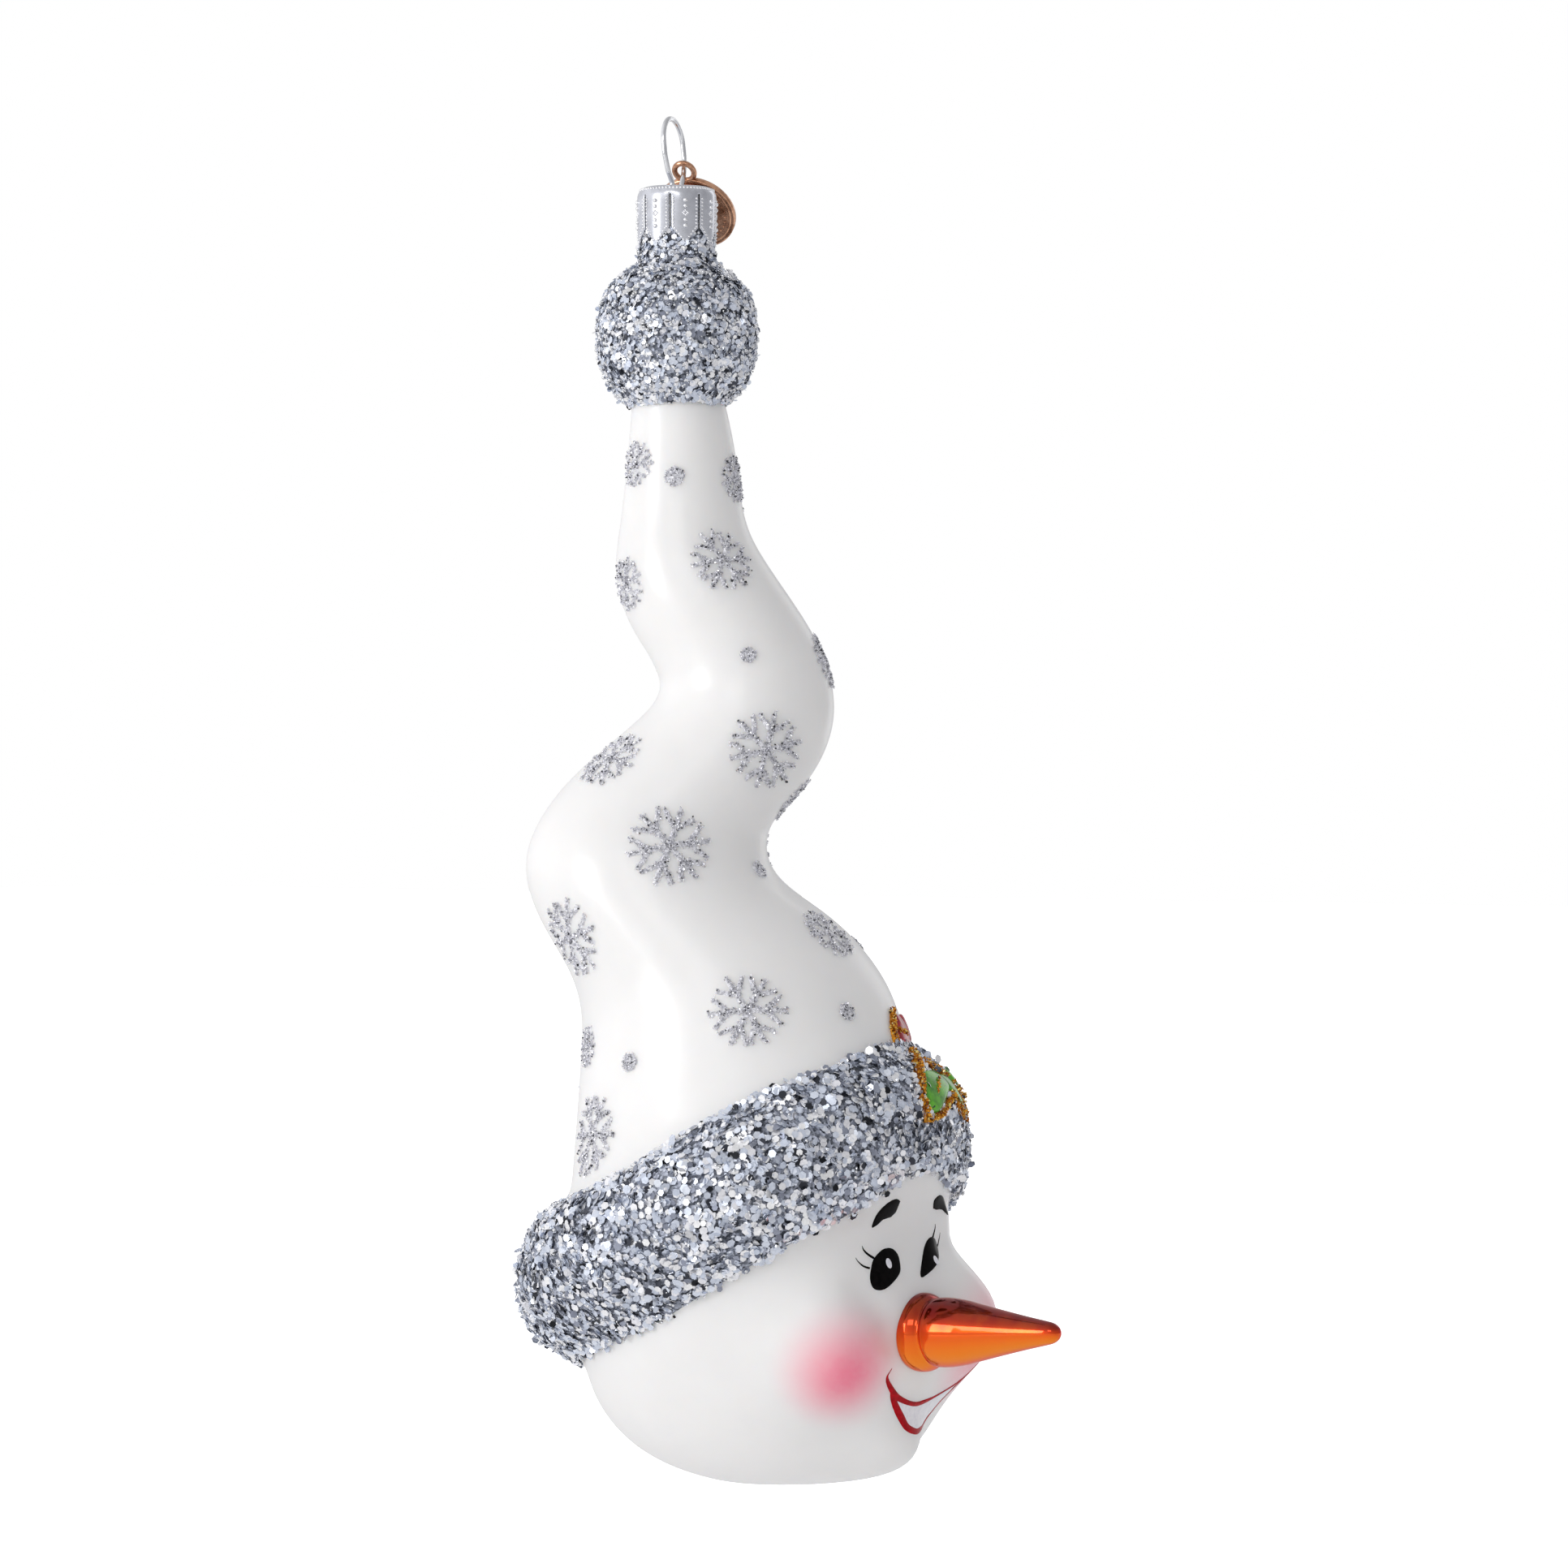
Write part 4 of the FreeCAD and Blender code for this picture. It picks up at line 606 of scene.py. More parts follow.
DOTS = [
    (0.733, 17.205, 1.45),
    (0.772, 22.745, 1.15),
    (0.9229, 30.972, 1.35),
    (0.8678, 36.974, 1.35),
    (0.6339, 37.448, 1.35),
    (0.23, 18.2, 1.3),
    (0.13, 22, 1.2),
    (0.32, 21.2, 1.3),
    (0.3, 25.6, 1.2),
    (0.13, 27.4, 1.3),
    (0.42, 29.2, 1.2),
    (0.2, 29.6, 1.3),
    (0.13, 33, 1.2),
    (0.33, 33.2, 1.3),
    (0.03, 34.4, 1.3),
    (0.23, 36, 1.2),
    (0.43, 35.6, 1.2),
    (0.165, 37.6, 1.2),
    (0.32, 39, 1.2),
]
NOSE_BASE = (1.045, -45.097, -176.504)
EYES = [((0.853, 51.053), 8.0), ((0.9078, 51.067), -8.0)]
EYE_OUTLINES = [[(-0.08, 2.92), (1.79, 2.96), (2.84, 2.1), (3.01, 0.8), (2.6, -0.61), (0.91, -1.95), (-1.07, -2.89), (-2.69, -2.66), (-3.23, -1.32), (-2.84, 0.3), (-1.98, 1.76)], [(1.22, 2.95), (2.63, 2.69), (3.02, 1.47), (2.23, 0.02), (0.4, -1.36), (-1.55, -2.23), (-3.3, -2.74), (-3.45, -2.13), (-2.47, -0.48), (-1.24, 1.38), (-0.18, 2.4)]]
GLINTS = [(0.8564, 50.923), (0.9106, 51.163)]
BROW = [(-2.65, -1.69, 0.1), (-1.93, -0.95, 0.75), (-1.04, 0.05, 1.25), (0.1, 0.64, 1.6), (1.26, 0.83, 1.65), (2.38, 0.74, 1.0)]
LASH = [[(1.37, -0.57, 0.24), (0.34, 0.18, 0.22), (-0.37, 0.99, 0.16), (-0.52, 1.72, 0.05)], [(0.26, -1.81, 0.2), (-0.92, -1.26, 0.17), (-1.69, -0.42, 0.1), (-1.96, 0.21, 0.04)]]
MOUTH = (0.902, 54.285)
UPPER = [(-10.06, 6.84, 0.05), (-10.54, 5.98, 0.14), (-10.57, 5.32, 0.26), (-9.72, 4.15, 0.38), (-7.7, 2.21, 0.46), (-5.44, 1.08, 0.42), (-2.67, 0.28, 0.36), (0.0, 0.13, 0.36), (2.67, 0.28, 0.31), (5.44, 1.08, 0.26), (7.7, 2.21, 0.29), (9.72, 4.15, 0.24), (10.57, 5.32, 0.16), (10.54, 5.98, 0.09), (10.06, 6.84, 0.05)]
LOWER = [(-8.92, 2.99, 0.2), (-8.22, 1.88, 0.42), (-7.1, 0.41, 0.58), (-5.78, -1.27, 0.64), (-4.43, -2.75, 0.56), (-1.94, -3.76, 0.44), (0.0, -3.91, 0.44), (1.94, -3.76, 0.37), (4.43, -2.75, 0.35), (5.78, -1.27, 0.4), (7.1, 0.41, 0.36), (8.22, 1.88, 0.26), (8.92, 2.99, 0.12)]
TEETH_TOP = [(-7.4, 1.76), (-5.92, 1.02), (-4.44, 0.49), (-2.96, 0.06), (-1.48, -0.09), (0.0, -0.17), (1.48, -0.09), (2.96, 0.06), (4.44, 0.49), (5.92, 1.02), (7.4, 1.76)]
TEETH_LOW = [(-7.4, 1.2), (-5.92, -0.69), (-4.44, -2.34), (-2.96, -2.95), (-1.48, -3.4), (0.0, -3.51), (1.48, -3.4), (2.96, -2.95), (4.44, -2.34), (5.92, -0.69), (7.4, 1.2)]
SPRIG = (0.9203, 43.986)
PETAL_SEAT = (0.951, 39.022)
PETALS = [[(0.91, 3.46), (-0.02, 1.69), (-1.69, -0.03), (-1.65, -1.6), (1.91, -1.87), (4.25, -0.16), (4.48, 2.14)], [(3.6, -1.2), (4.4, 1.4), (6.0, 3.2), (7.6, 3.0), (7.2, 1.0), (5.6, -0.9)], [(5.6, -2.2), (8.0, -0.9), (10.4, -1.0), (11.2, -2.4), (9.0, -3.3), (6.8, -3.3)]]
LEAVES = [[(-0.01, 3.16), (-2.28, 1.48), (-3.35, -0.38), (-3.11, -1.97), (-1.56, -2.68), (0.67, -1.74), (3.05, -0.47), (5.64, 1.1), (4.65, 2.32), (2.84, 3.2)], [(3.6, 2.3), (5.2, 2.6), (7.4, 1.4), (9.2, -0.8), (9.8, -2.8), (8.2, -2.2), (6.2, -0.6), (4.4, 0.8)], [(10.6, 3.8), (12.8, 4.2), (14.6, 3.0), (15.6, 1.0), (13.4, 0.6), (11.4, 1.6)]]
GOLD = [[(2.05, 7.3, 0.5), (2.81, 6.36, 0.55), (0.57, 4.52, 0.55), (-2.08, 2.3, 0.5), (-3.74, 0.3, 0.5), (-3.98, -1.53, 0.5), (-4.12, -3.71, 0.45)], [(2.07, 1.91, 0.35), (0.3, 0.63, 0.45), (-0.7, -0.59, 0.3)], [(-2.95, -3.37, 0.3), (-0.73, -3.07, 0.45), (2.37, -1.79, 0.45), (5.6, -0.07, 0.4)], [(2.73, 5.08, 0.5), (3.94, 4.12, 0.5), (5.69, 3.23, 0.45), (7.49, 2.29, 0.4)], [(5.2, -0.4, 0.4), (7.4, -2.0, 0.4), (9.6, -3.8, 0.4)], [(10.2, -3.0, 0.35), (10.0, -0.6, 0.4), (8.4, 1.6, 0.4)], [(10.6, 0.9, 0.4), (13.2, -0.1, 0.4), (16.0, 0.4, 0.35)]]
GOLD_ON_HAT = [[(0.57, 4.12, 0.2), (-1.17, 2.55, 0.45), (-2.95, 0.87, 0.5), (-4.06, -0.84, 0.5), (-4.18, -2.63, 0.45)], [(-1.22, 0.59, 0.4), (1.7, 0.08, 0.4)]]
EYES = [(0.853, 51.053), (0.9078, 51.067)]
GLINTS = [((0.8564, 50.923), 1.0), ((0.9106, 51.163), 0.9)]
ROLL = 6.46
BROW_SEATS = [(0.8624, 48.694), (0.9388, 49.215)]
LASH_SEATS = [(0.8362, 50.484), (0.925, 50.5)]
BLUSH = [((-12.95, -42.92, -181.8), None, 0.2, 12.4, 0.95), ((15.88, -42.92, -178.53), None, 0.2, 12.4, 0.95)]
BOB_V = (2.2, 14.6)
COAT_HIGH = [(0.0, 40.4), (0.05, 40.6), (0.30, 40.6), (0.45, 41.6), (0.56, 42.5), (0.60, 42.7), (0.66, 42.6), (0.68, 42.0), (0.70, 41.65),
             (0.74, 40.9), (0.765, 40.6), (0.81, 40.55), (0.84, 40.4), (0.87, 39.9), (0.90, 39.5), (0.95, 39.6), (1.0, 40.4)]
COAT_LOW = [(0.0, 48.5), (0.035, 48.9), (0.08, 49.4), (0.12, 49.6), (0.50, 49.6), (0.53, 49.5), (0.62, 49.75), (0.66, 49.8), (0.70, 49.4),
            (0.745, 48.85), (0.79, 48.3), (0.82, 48.05), (0.85, 47.45), (0.877, 46.95), (0.90, 46.85), (0.92, 46.95), (0.936, 47.5), (0.96, 48.1), (1.0, 48.5)]

glass()

# ------------------------------------------------------------------ glitter
def area_table(v0, v1, nu=360, dv=0.1):
    vv = np.arange(v0, v1, dv)
    U, V = np.meshgrid(np.arange(nu) / nu, vv)
    p, du, dvv, n = skin_frame(U, V)
    a = np.linalg.norm(np.cross(du, dvv), axis=-1)
    return U, V, a / a.sum(), nu, dv


def scatter(count, v0, v1, rng):
    U, V, a, nu, dv = area_table(v0, v1)
    i = rng.choice(a.size, size=count, p=a.ravel())
    u = U.ravel()[i] + (rng.random(count) - 0.5) / nu
    v = V.ravel()[i] + rng.random(count) * dv
    return u, v


# Flake tones differ at random; the dark row is painted reflection, flakes shown dark for the dark surroundings they
# would mirror.
SILVER_TONES_AND_PAINTED_REFLECTION = [(0.48, (0.80, 0.83, 0.89), (0.93, 0.95, 0.99)), (0.36, (0.97, 0.97, 0.99), (1.0, 1.0, 1.0)),
           (0.09, (0.52, 0.54, 0.60), (0.68, 0.70, 0.76)), (0.07, (0.08, 0.09, 0.11), (0.30, 0.31, 0.35))]
FINES = [(0.50, (0.80, 0.80, 0.83), (0.93, 0.93, 0.96)), (0.30, (0.95, 0.95, 0.97), (1.0, 1.0, 1.0)),
         (0.14, (0.58, 0.58, 0.60), (0.72, 0.72, 0.74)), (0.10, (0.14, 0.14, 0.16), (0.36, 0.36, 0.38))]
GOLDS = [(0.48, (0.80, 0.50, 0.06), (0.93, 0.66, 0.16)), (0.22, (0.97, 0.82, 0.38), (1.0, 0.95, 0.70)),
         (0.19, (0.64, 0.32, 0.03), (0.76, 0.44, 0.06)), (0.11, (0.28, 0.10, 0.01), (0.46, 0.20, 0.03))]


def tones(count, table, rng):
    w = np.array([t[0] for t in table])
    k = rng.choice(len(table), size=count, p=w / w.sum())
    lo = np.array([t[1] for t in table])[k]
    hi = np.array([t[2] for t in table])[k]
    c = lo + (hi - lo) * rng.random((count, 1))
    return np.where(c <= 0.04045, c / 12.92, ((c + 0.055) / 1.055) ** 2.4)


def hexes(name, p, n, size, tilt, table, rng, body, mat, thick=0.05, sides=6, odd=None):
    """Thin six-sided flakes at p, lying near the tangent plane."""
    cnt = len(p)
    ref = unit(rng.normal(size=(cnt, 3)))
    lean = np.clip(np.abs(rng.normal(0, tilt, cnt)), 0, 1.1)
    if odd is not None:
        lean = np.where(odd, 0.9 + 0.4 * rng.random(cnt), lean)
    q = p * 1.15
    wave = np.stack([np.sin(q[:, 1] + 1.7 * np.sin(0.6 * q[:, 2])), np.sin(1.1 * q[:, 2] + 1.4 * np.sin(0.7 * q[:, 0])), np.sin(0.9 * q[:, 0] + 1.5 * np.sin(0.5 * q[:, 1]))], 1)
    n = unit(n + 0.30 * wave)
    n = unit(n + unit(np.cross(n, ref)) * np.tan(lean)[:, None])
    a = unit(np.cross(n, unit(rng.normal(size=(cnt, 3)))))
    b = np.cross(n, a)
    ang = 2 * np.pi * np.arange(sides) / sides
    ring = (np.cos(ang)[None, :, None] * a[:, None] + np.sin(ang)[None, :, None] * b[:, None]) * size[:, None, None]
    top = p[:, None] + ring + n[:, None] * thick
    low = p[:, None] + ring
    verts = np.concatenate([top, low], 1).reshape(-1, 3)
    faces, tone = [], []
    t = tones(cnt, table, rng)
    m = 2 * sides
    for i in range(cnt):
        o = i * m
        faces.append([o + j for j in range(sides)])
        for j in range(sides):
            k = (j + 1) % sides
            faces.append([o + j, o + sides + j, o + sides + k, o + k])
    tone = np.repeat(t, sides + 1, axis=0)
    return make(name, verts, faces, body, mat, smooth=False, tone=tone)


ICO_V, ICO_F = None, None


def ico():
    global ICO_V, ICO_F
    if ICO_V is None:
        import bmesh
        bm = bmesh.new()
        bmesh.ops.create_icosphere(bm, subdivisions=2, radius=1.0)
        ICO_V = np.array([v.co[:] for v in bm.verts])
        ICO_F = np.array([[v.index for v in f.verts] for f in bm.faces])
        bm.free()
    return ICO_V, ICO_F


def balls(name, p, r, body, mat):
    iv, jf = ico()
    verts = (p[:, None] + iv[None] * r[:, None, None]).reshape(-1, 3)
    faces = (jf[None] + (np.arange(len(p)) * len(iv))[:, None, None]).reshape(-1, 3)
    return make(name, verts, faces, body, mat)


OCT = np.array([[1, 0, 0], [-1, 0, 0], [0, 1, 0], [0, -1, 0], [0, 0, 1], [0, 0, -1]], float)
OCT_F = np.array([[0, 2, 4], [2, 1, 4], [1, 3, 4], [3, 0, 4], [2, 0, 5], [1, 2, 5], [3, 1, 5], [0, 3, 5]])


def grains(name, p, r, table, rng, body, mat, flat=0.45):
    """Small glitter grains: squashed octahedra turned every way."""
    cnt = len(p)
    q = unit(rng.normal(size=(cnt, 4)))
    w, x, y, z = q.T
    R = np.stack([1 - 2 * (y * y + z * z), 2 * (x * y - z * w), 2 * (x * z + y * w),
                  2 * (x * y + z * w), 1 - 2 * (x * x + z * z), 2 * (y * z - x * w),
                  2 * (x * z - y * w), 2 * (y * z + x * w), 1 - 2 * (x * x + y * y)], -1).reshape(cnt, 3, 3)
    base = OCT * np.array([1, 1, flat])
    verts = p[:, None] + np.einsum("nij,kj->nki", R, base) * r[:, None, None]
    faces = (OCT_F[None] + (np.arange(cnt) * 6)[:, None, None]).reshape(-1, 3)
    tone = np.repeat(tones(cnt, table, rng), 8, axis=0)
    return make(name, verts.reshape(-1, 3), faces, body, mat, smooth=False, tone=tone)


def span_at(table, u):
    if isinstance(table, (int, float)):
        return np.full(np.shape(u), float(table))
    t = np.array(table)
    return np.interp(np.asarray(u) % 1.0, t[:, 0], t[:, 1])


def bed(name, v0, v1, lift, body, mat, edge=0.9, cols=240, rings=70, rough=0.10, seed=3):
    """Glue layer under the flakes, with a rough face."""
    rng = np.random.default_rng(seed)
    S, U = np.meshgrid(np.linspace(0, 1, rings), np.arange(cols) / cols, indexing="ij")
    lo, hi = span_at(v0, U) + 0.1, span_at(v1, U) - 0.1
    V = lo + (hi - lo) * S
    vv = S[:, 0]
    p, _, _, n = skin_frame(U, V)
    e = np.clip(np.minimum(V - lo, hi - V) / edge, 0, 1)
    h = lift * (0.08 + 0.92 * np.sqrt(e)) + rng.normal(0, rough, U.shape) * np.minimum(1, e * 3)
    h[0], h[-1] = -0.05, -0.05
    q = p + n * h[..., None]
    return make(name, q.reshape(-1, 3), grid_faces(len(vv), cols, wrap=True, flip=SIGN < 0), body, mat)


def coat(tag, node, v0, v1, thick, flakes, size, beads, bead_r, slot, seed, edge, tilt):
    rng = np.random.default_rng(seed)
    base = bed(tag + "_bed", v0, v1, thick * 0.55, "figure", BED_WITH_PAINTED_SHADE, edge=edge, seed=seed)
    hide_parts(node)
    lo_all = v0 if isinstance(v0, (int, float)) else min(q[1] for q in v0)
    hi_all = v1 if isinstance(v1, (int, float)) else max(q[1] for q in v1)

    def spread(count, margin):
        u, v = scatter(count, lo_all, hi_all, rng)
        e = np.minimum(v - span_at(v0, u), span_at(v1, u) - v) + rng.normal(0, 0.06, len(u))
        k = e > margin
        return u[k], v[k], np.clip(e[k] / edge, 0, 1)

    left = flakes
    k = 0
    while left > 0:
        m = min(left, 9500)
        u, v, e = spread(m, 0.0)
        # a ragged edge: thin the flakes out over the last of it
        keepit = rng.random(len(u)) < np.clip(0.40 + 1.4 * e, 0, 1)
        u, v, e = u[keepit], v[keepit], e[keepit]
        p, _, _, n = skin_frame(u, v)
        c = len(p)
        h = thick * (0.10 + 0.90 * np.sqrt(e)) * (0.50 + 0.60 * rng.random(c))
        # low lumps in the layer
        odd = rng.random(c) < 0.05
        h = np.where(odd, h * 1.45, h)
        h = h * (1 + 0.22 * np.sin(p[:, 0] * 1.9 + 1.3 * np.sin(p[:, 2] * 1.3)) * np.sin(p[:, 2] * 1.7 + p[:, 1]))
        s = size[0] + (size[1] - size[0]) * rng.random(c) ** 1.3
        hexes("%s_flakes_%d" % (tag, k), p + n * h[:, None], n, s, tilt, SILVER_TONES_AND_PAINTED_REFLECTION, rng, "figure", FLAKE, odd=odd)
        left -= m
        k += 1
    # specks between the flakes and a few that stand proud
    u, v, e = spread(int(flakes * 0.30), 0.0)
    p, _, _, n = skin_frame(u, v)
    h = thick * (0.15 + 0.95 * np.sqrt(e)) * (0.70 + 0.55 * rng.random(len(p)))
    grains(tag + "_specks", p + n * h[:, None], size[0] * (0.35 + 0.35 * rng.random(len(p))), SILVER_TONES_AND_PAINTED_REFLECTION, rng, "figure", FLAKE, flat=0.25)
    u, v, e = spread(beads, 0.1)
    p, _, _, n = skin_frame(u, v)
    r = bead_r[0] + (bead_r[1] - bead_r[0]) * rng.random(len(p))
    h = thick * (0.25 + 0.85 * np.sqrt(e)) * (0.8 + 0.4 * rng.random(len(p)))
    balls(tag + "_beads", p + n * h[:, None], r, "figure", BEAD)


coat("cuff", "cuff_coat", COAT_HIGH, COAT_LOW, 1.0, 12500, (0.46, 0.68), 520, (0.20, 0.32), "glitter_coarse", 11, 0.8, 0.27)
coat("bobble", "bobble_coat", BOB_V[0], BOB_V[1], 0.75, 5400, (0.34, 0.58), 900, (0.18, 0.32), "glitter_fine", 12, 1.3, 0.30)

# ------------------------------------------------------------------ raised strokes
def stroke(b, seat, turn, line, h, body_tone=(0.6, 0.6, 0.6), per=3, cross=5, sink=0.05, round_ends=True):
    """A raised stroke that follows the skin: line is (x, y, half width)."""
    L = smooth_line(line, per) if len(line) > 2 else np.array([np.array(line[0]) + (np.array(line[1]) - np.array(line[0])) * t for t in np.linspace(0, 1, 2 * per + 1)])
    xy, hw = L[:, :2], np.maximum(L[:, 2], 0.02)
    d = np.gradient(xy, axis=0)
    d = d / (np.linalg.norm(d, axis=1, keepdims=True) + 1e-9)
    nrm = np.stack([-d[:, 1], d[:, 0]], 1)
    s = np.linspace(-1, 1, cross)
    pts = xy[:, None] + nrm[:, None] * (s[None, :, None] * hw[:, None, None])
    lift = h * np.sqrt(np.clip(1 - s ** 2, 0, 1))[None, :] * np.ones((len(xy), 1)) * np.clip(hw / max(hw.max(), 1e-6), 0.35, 1)[:, None]
    lift[:, 0] = -sink
    lift[:, -1] = -sink
    if round_ends:
        lift[0] = -sink
        lift[-1] = -sink
    q, m = on_skin(seat, turn, pts, lift)
    b.add(q.reshape(-1, 3), grid_faces(len(xy), cross))
    return pts, lift


def plate(b, seat, turn, outline, h, per=4, rings=9, sink=0.05, bulge=0.0, base=0.0, dish=2.2):
    """A raised patch with a rounded edge that follows the skin."""
    o = smooth_line(outline, per, closed=True)
    c = o.mean(0)
    rr = 1 - (1 - np.linspace(0, 1, rings + 1)[1:]) ** 1.6
    pts = np.concatenate([c[None, None].repeat(1, 0).reshape(1, 2)] + [c + (o - c) * r for r in rr], 0)
    lift = np.concatenate([[h + bulge]] + [np.full(len(o), base + h * np.sqrt(max(0.0, 1 - r ** 8)) + bulge * (1 - r * r)) for r in rr])
    lift[0] += base
    lift[-len(o):] = -sink + base
    q, m = on_skin(seat, turn, pts, lift)
    n = len(o)
    faces = [[0, 1 + k, 1 + (k + 1) % n] for k in range(n)]
    for j in range(rings - 1):
        a0, b0 = 1 + j * n, 1 + (j + 1) * n
        faces += [[a0 + k, b0 + k, b0 + (k + 1) % n, a0 + (k + 1) % n] for k in range(n)]
    b.add(q, faces)


def along(seat, turn, line, density, spread, lift, rng):
    """Grain positions along a stroke."""
    L = np.asarray(line, float)
    seg = np.linalg.norm(np.diff(L[:, :2], axis=0), axis=1)
    cnt = max(3, int(seg.sum() * density * (2 * L[:, 2].mean() / 0.8)))
    cum = np.concatenate([[0], np.cumsum(seg)])
    t = rng.random(cnt) * cum[-1]
    x, y, hw = (np.interp(t, cum, L[:, k]) for k in (0, 1, 2))
    i = np.clip(np.searchsorted(cum, t) - 1, 0, len(seg) - 1)
    d = np.diff(L[:, :2], axis=0)[i]
    d = d / (np.linalg.norm(d, axis=1, keepdims=True) + 1e-9)
    off = np.clip(rng.normal(0, spread, cnt), -1.25, 1.25) * hw
    pts = np.stack([x - d[:, 1] * off, y + d[:, 0] * off], 1)
    lf = lift * np.sqrt(np.clip(1 - (off / (hw * 1.3 + 1e-6)) ** 2, 0.05, 1)) * (0.75 + 0.4 * rng.random(cnt))
    q, m = on_skin(seat, turn, pts, lf)
    return q


def snow(b, seat, r, turn, rng, pool):
    w = 0.052 * r + 0.16
    for k in range(6):
        a = math.radians(60 * k + turn + rng.normal(0, 2.0))
        ca, sa = math.cos(a), math.sin(a)
        R = lambda x, y: (ca * x - sa * y, sa * x + ca * y)
        rr = r * (1 + rng.normal(0, 0.03))
        lines = [[R(0.0, 0) + (w,), R(0.35 * rr, 0) + (w,), R(0.7 * rr, 0) + (w * 0.95,), R(rr, 0) + (w * 0.75,)]]
        for sg in (1, -1):
            lines.append([R(0.46 * rr, 0) + (w * 0.9,), R(0.64 * rr, sg * 0.19 * rr) + (w * 0.95,), R(0.85 * rr, sg * 0.40 * rr) + (w * 0.75,)])
        for ln in lines:
            stroke(b, seat, 0, ln, 0.20, per=2, cross=5)
            pool.append(along(seat, 0, ln, 9.0, 0.62, 0.30, rng))


srng = np.random.default_rng(77)
bs, pool = Build(), []
for u, v, r, t in FLAKES:
    snow(bs, (u, v), r * 1.06, t, srng, pool)
o = make("snowflake_lines", bs.verts(), bs.f, "figure", GREY_BED)
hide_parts("snowflakes")
gp = np.concatenate(pool)
grains("snowflake_grains", gp, 0.12 + 0.13 * srng.random(len(gp)), FINES, srng, "figure", FINE)
bd, pool = Build(), []
for u, v, r in DOTS:
    a = np.linspace(0, 2 * np.pi, 15)[:-1]
    rr = r * (1 + srng.normal(0, 0.05, 14))
    plate(bd, (u, v), 0, np.stack([rr * np.cos(a), rr * np.sin(a)], 1), 0.22, per=2, rings=5)
    c = int(60 * r * r)
    q = np.sqrt(srng.random(c)) * r * 1.05
    th = srng.random(c) * 2 * np.pi
    pts, _ = on_skin((u, v), 0, np.stack([q * np.cos(th), q * np.sin(th)], 1), 0.24 + 0.1 * srng.random(c))
    pool.append(pts)
o = make("glitter_dot_beds", bd.verts(), bd.f, "figure", GREY_BED)
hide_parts("glitter_dots")
gp = np.concatenate(pool)
grains("glitter_dot_grains", gp, 0.10 + 0.10 * srng.random(len(gp)), FINES, srng, "figure", FINE)

# ------------------------------------------------------------------ face
def group(name, node, mat, fill):
    b = Build()
    fill(b)
    o = make(name, b.verts(), b.f, "figure", mat)
    if node:
        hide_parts(node)
    return o


def eyes(b):
    for seat, o in zip(EYES, EYE_OUTLINES):
        plate(b, seat, 0, o, 0.12, per=5, rings=10, bulge=0.10)


def glints(b):
    for seat, s in GLINTS:
        a = np.linspace(0, 2 * np.pi, 13)[:-1]
        plate(b, seat, 12, np.stack([0.55 * s * np.cos(a), 0.78 * s * np.sin(a)], 1), 0.05, per=2, rings=4, base=0.22, sink=0.03)


def brows(b):
    stroke(b, BROW_SEATS[0], ROLL, BROW, 0.12, per=4, cross=7)
    stroke(b, BROW_SEATS[1], ROLL, [(-x, y, h * 0.72) for x, y, h in BROW], 0.12, per=4, cross=7)


def lashes(b):
    for s in LASH:
        stroke(b, LASH_SEATS[0], ROLL, s, 0.09, per=3)
        stroke(b, LASH_SEATS[1], ROLL, [(-x, y, h) for x, y, h in s], 0.09, per=3)


def mouth(b):
    for line in (UPPER, LOWER):
        stroke(b, MOUTH, ROLL, [(x, y, h * (1.14 if x < 1 else 0.9)) for x, y, h in line], 0.17, per=4, cross=7)


group("eye_enamel", "eyes", BLACK, eyes)
group("eye_glint_dots", "eye_glints", WHITE, glints)
group("brow_strokes", "brows", BLACK, brows)
group("lash_strokes", "lashes", BLACK, lashes)
group("mouth_lines", "mouth", RED, mouth)
def teeth(b):
    hi, lo = smooth_line(TEETH_TOP, 3), smooth_line(TEETH_LOW, 3)
    s = np.linspace(-0.12, 1.12, 9)
    pts = lo[None] + (hi - lo)[None] * s[:, None, None]
    t = np.linspace(-1, 1, len(hi))
    lift = 0.09 * np.sqrt(np.clip(1 - t ** 6, 0, 1))[None] * np.ones((len(s), 1))
    lift[0], lift[-1], lift[:, 0], lift[:, -1] = -0.05, -0.05, -0.05, -0.05
    q, m = on_skin(MOUTH, ROLL, pts, lift)
    b.add(q.reshape(-1, 3), grid_faces(len(s), len(hi)))


group("teeth_enamel", "teeth", WHITE, teeth)

# ------------------------------------------------------------------ sprig
COAT_TOP = 1.15


def petals(b):
    for o in PETALS:
        plate(b, PETAL_SEAT, 0, o, 0.45, per=4, rings=8, bulge=0.15)


def leaves(b):
    for o in LEAVES:
        plate(b, SPRIG, 0, o, 0.35, per=4, rings=8, base=COAT_TOP, bulge=0.10, sink=0.8)


group("sprig_petals", "holly_petals", CRIMSON, petals)
group("sprig_leaves", "holly_leaves", GREEN, leaves)
grng = np.random.default_rng(5)
bg, pool = Build(), []
for ln in GOLD:
    seat, up = SPRIG, COAT_TOP + 0.30
    L = [(x, y, h) for x, y, h in ln]
    P_, lf = stroke(bg, seat, 0, L, up, per=3, cross=5, sink=-0.7)
    pool.append(along(seat, 0, L, 22.0, 0.75, up + 0.20, grng))
for ln in GOLD_ON_HAT:
    stroke(bg, PETAL_SEAT, 0, ln, 0.5, per=3, cross=5)
    pool.append(along(PETAL_SEAT, 0, ln, 22.0, 0.75, 0.70, grng))
o = make("sprig_outline_beds", bg.verts(), bg.f, "figure", GOLD_BED)
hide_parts("holly_outline")
gp = np.concatenate(pool)
grains("sprig_outline_grains", gp, 0.15 + 0.15 * grng.random(len(gp)), GOLDS, grng, "figure", GOLD_GRAIN)

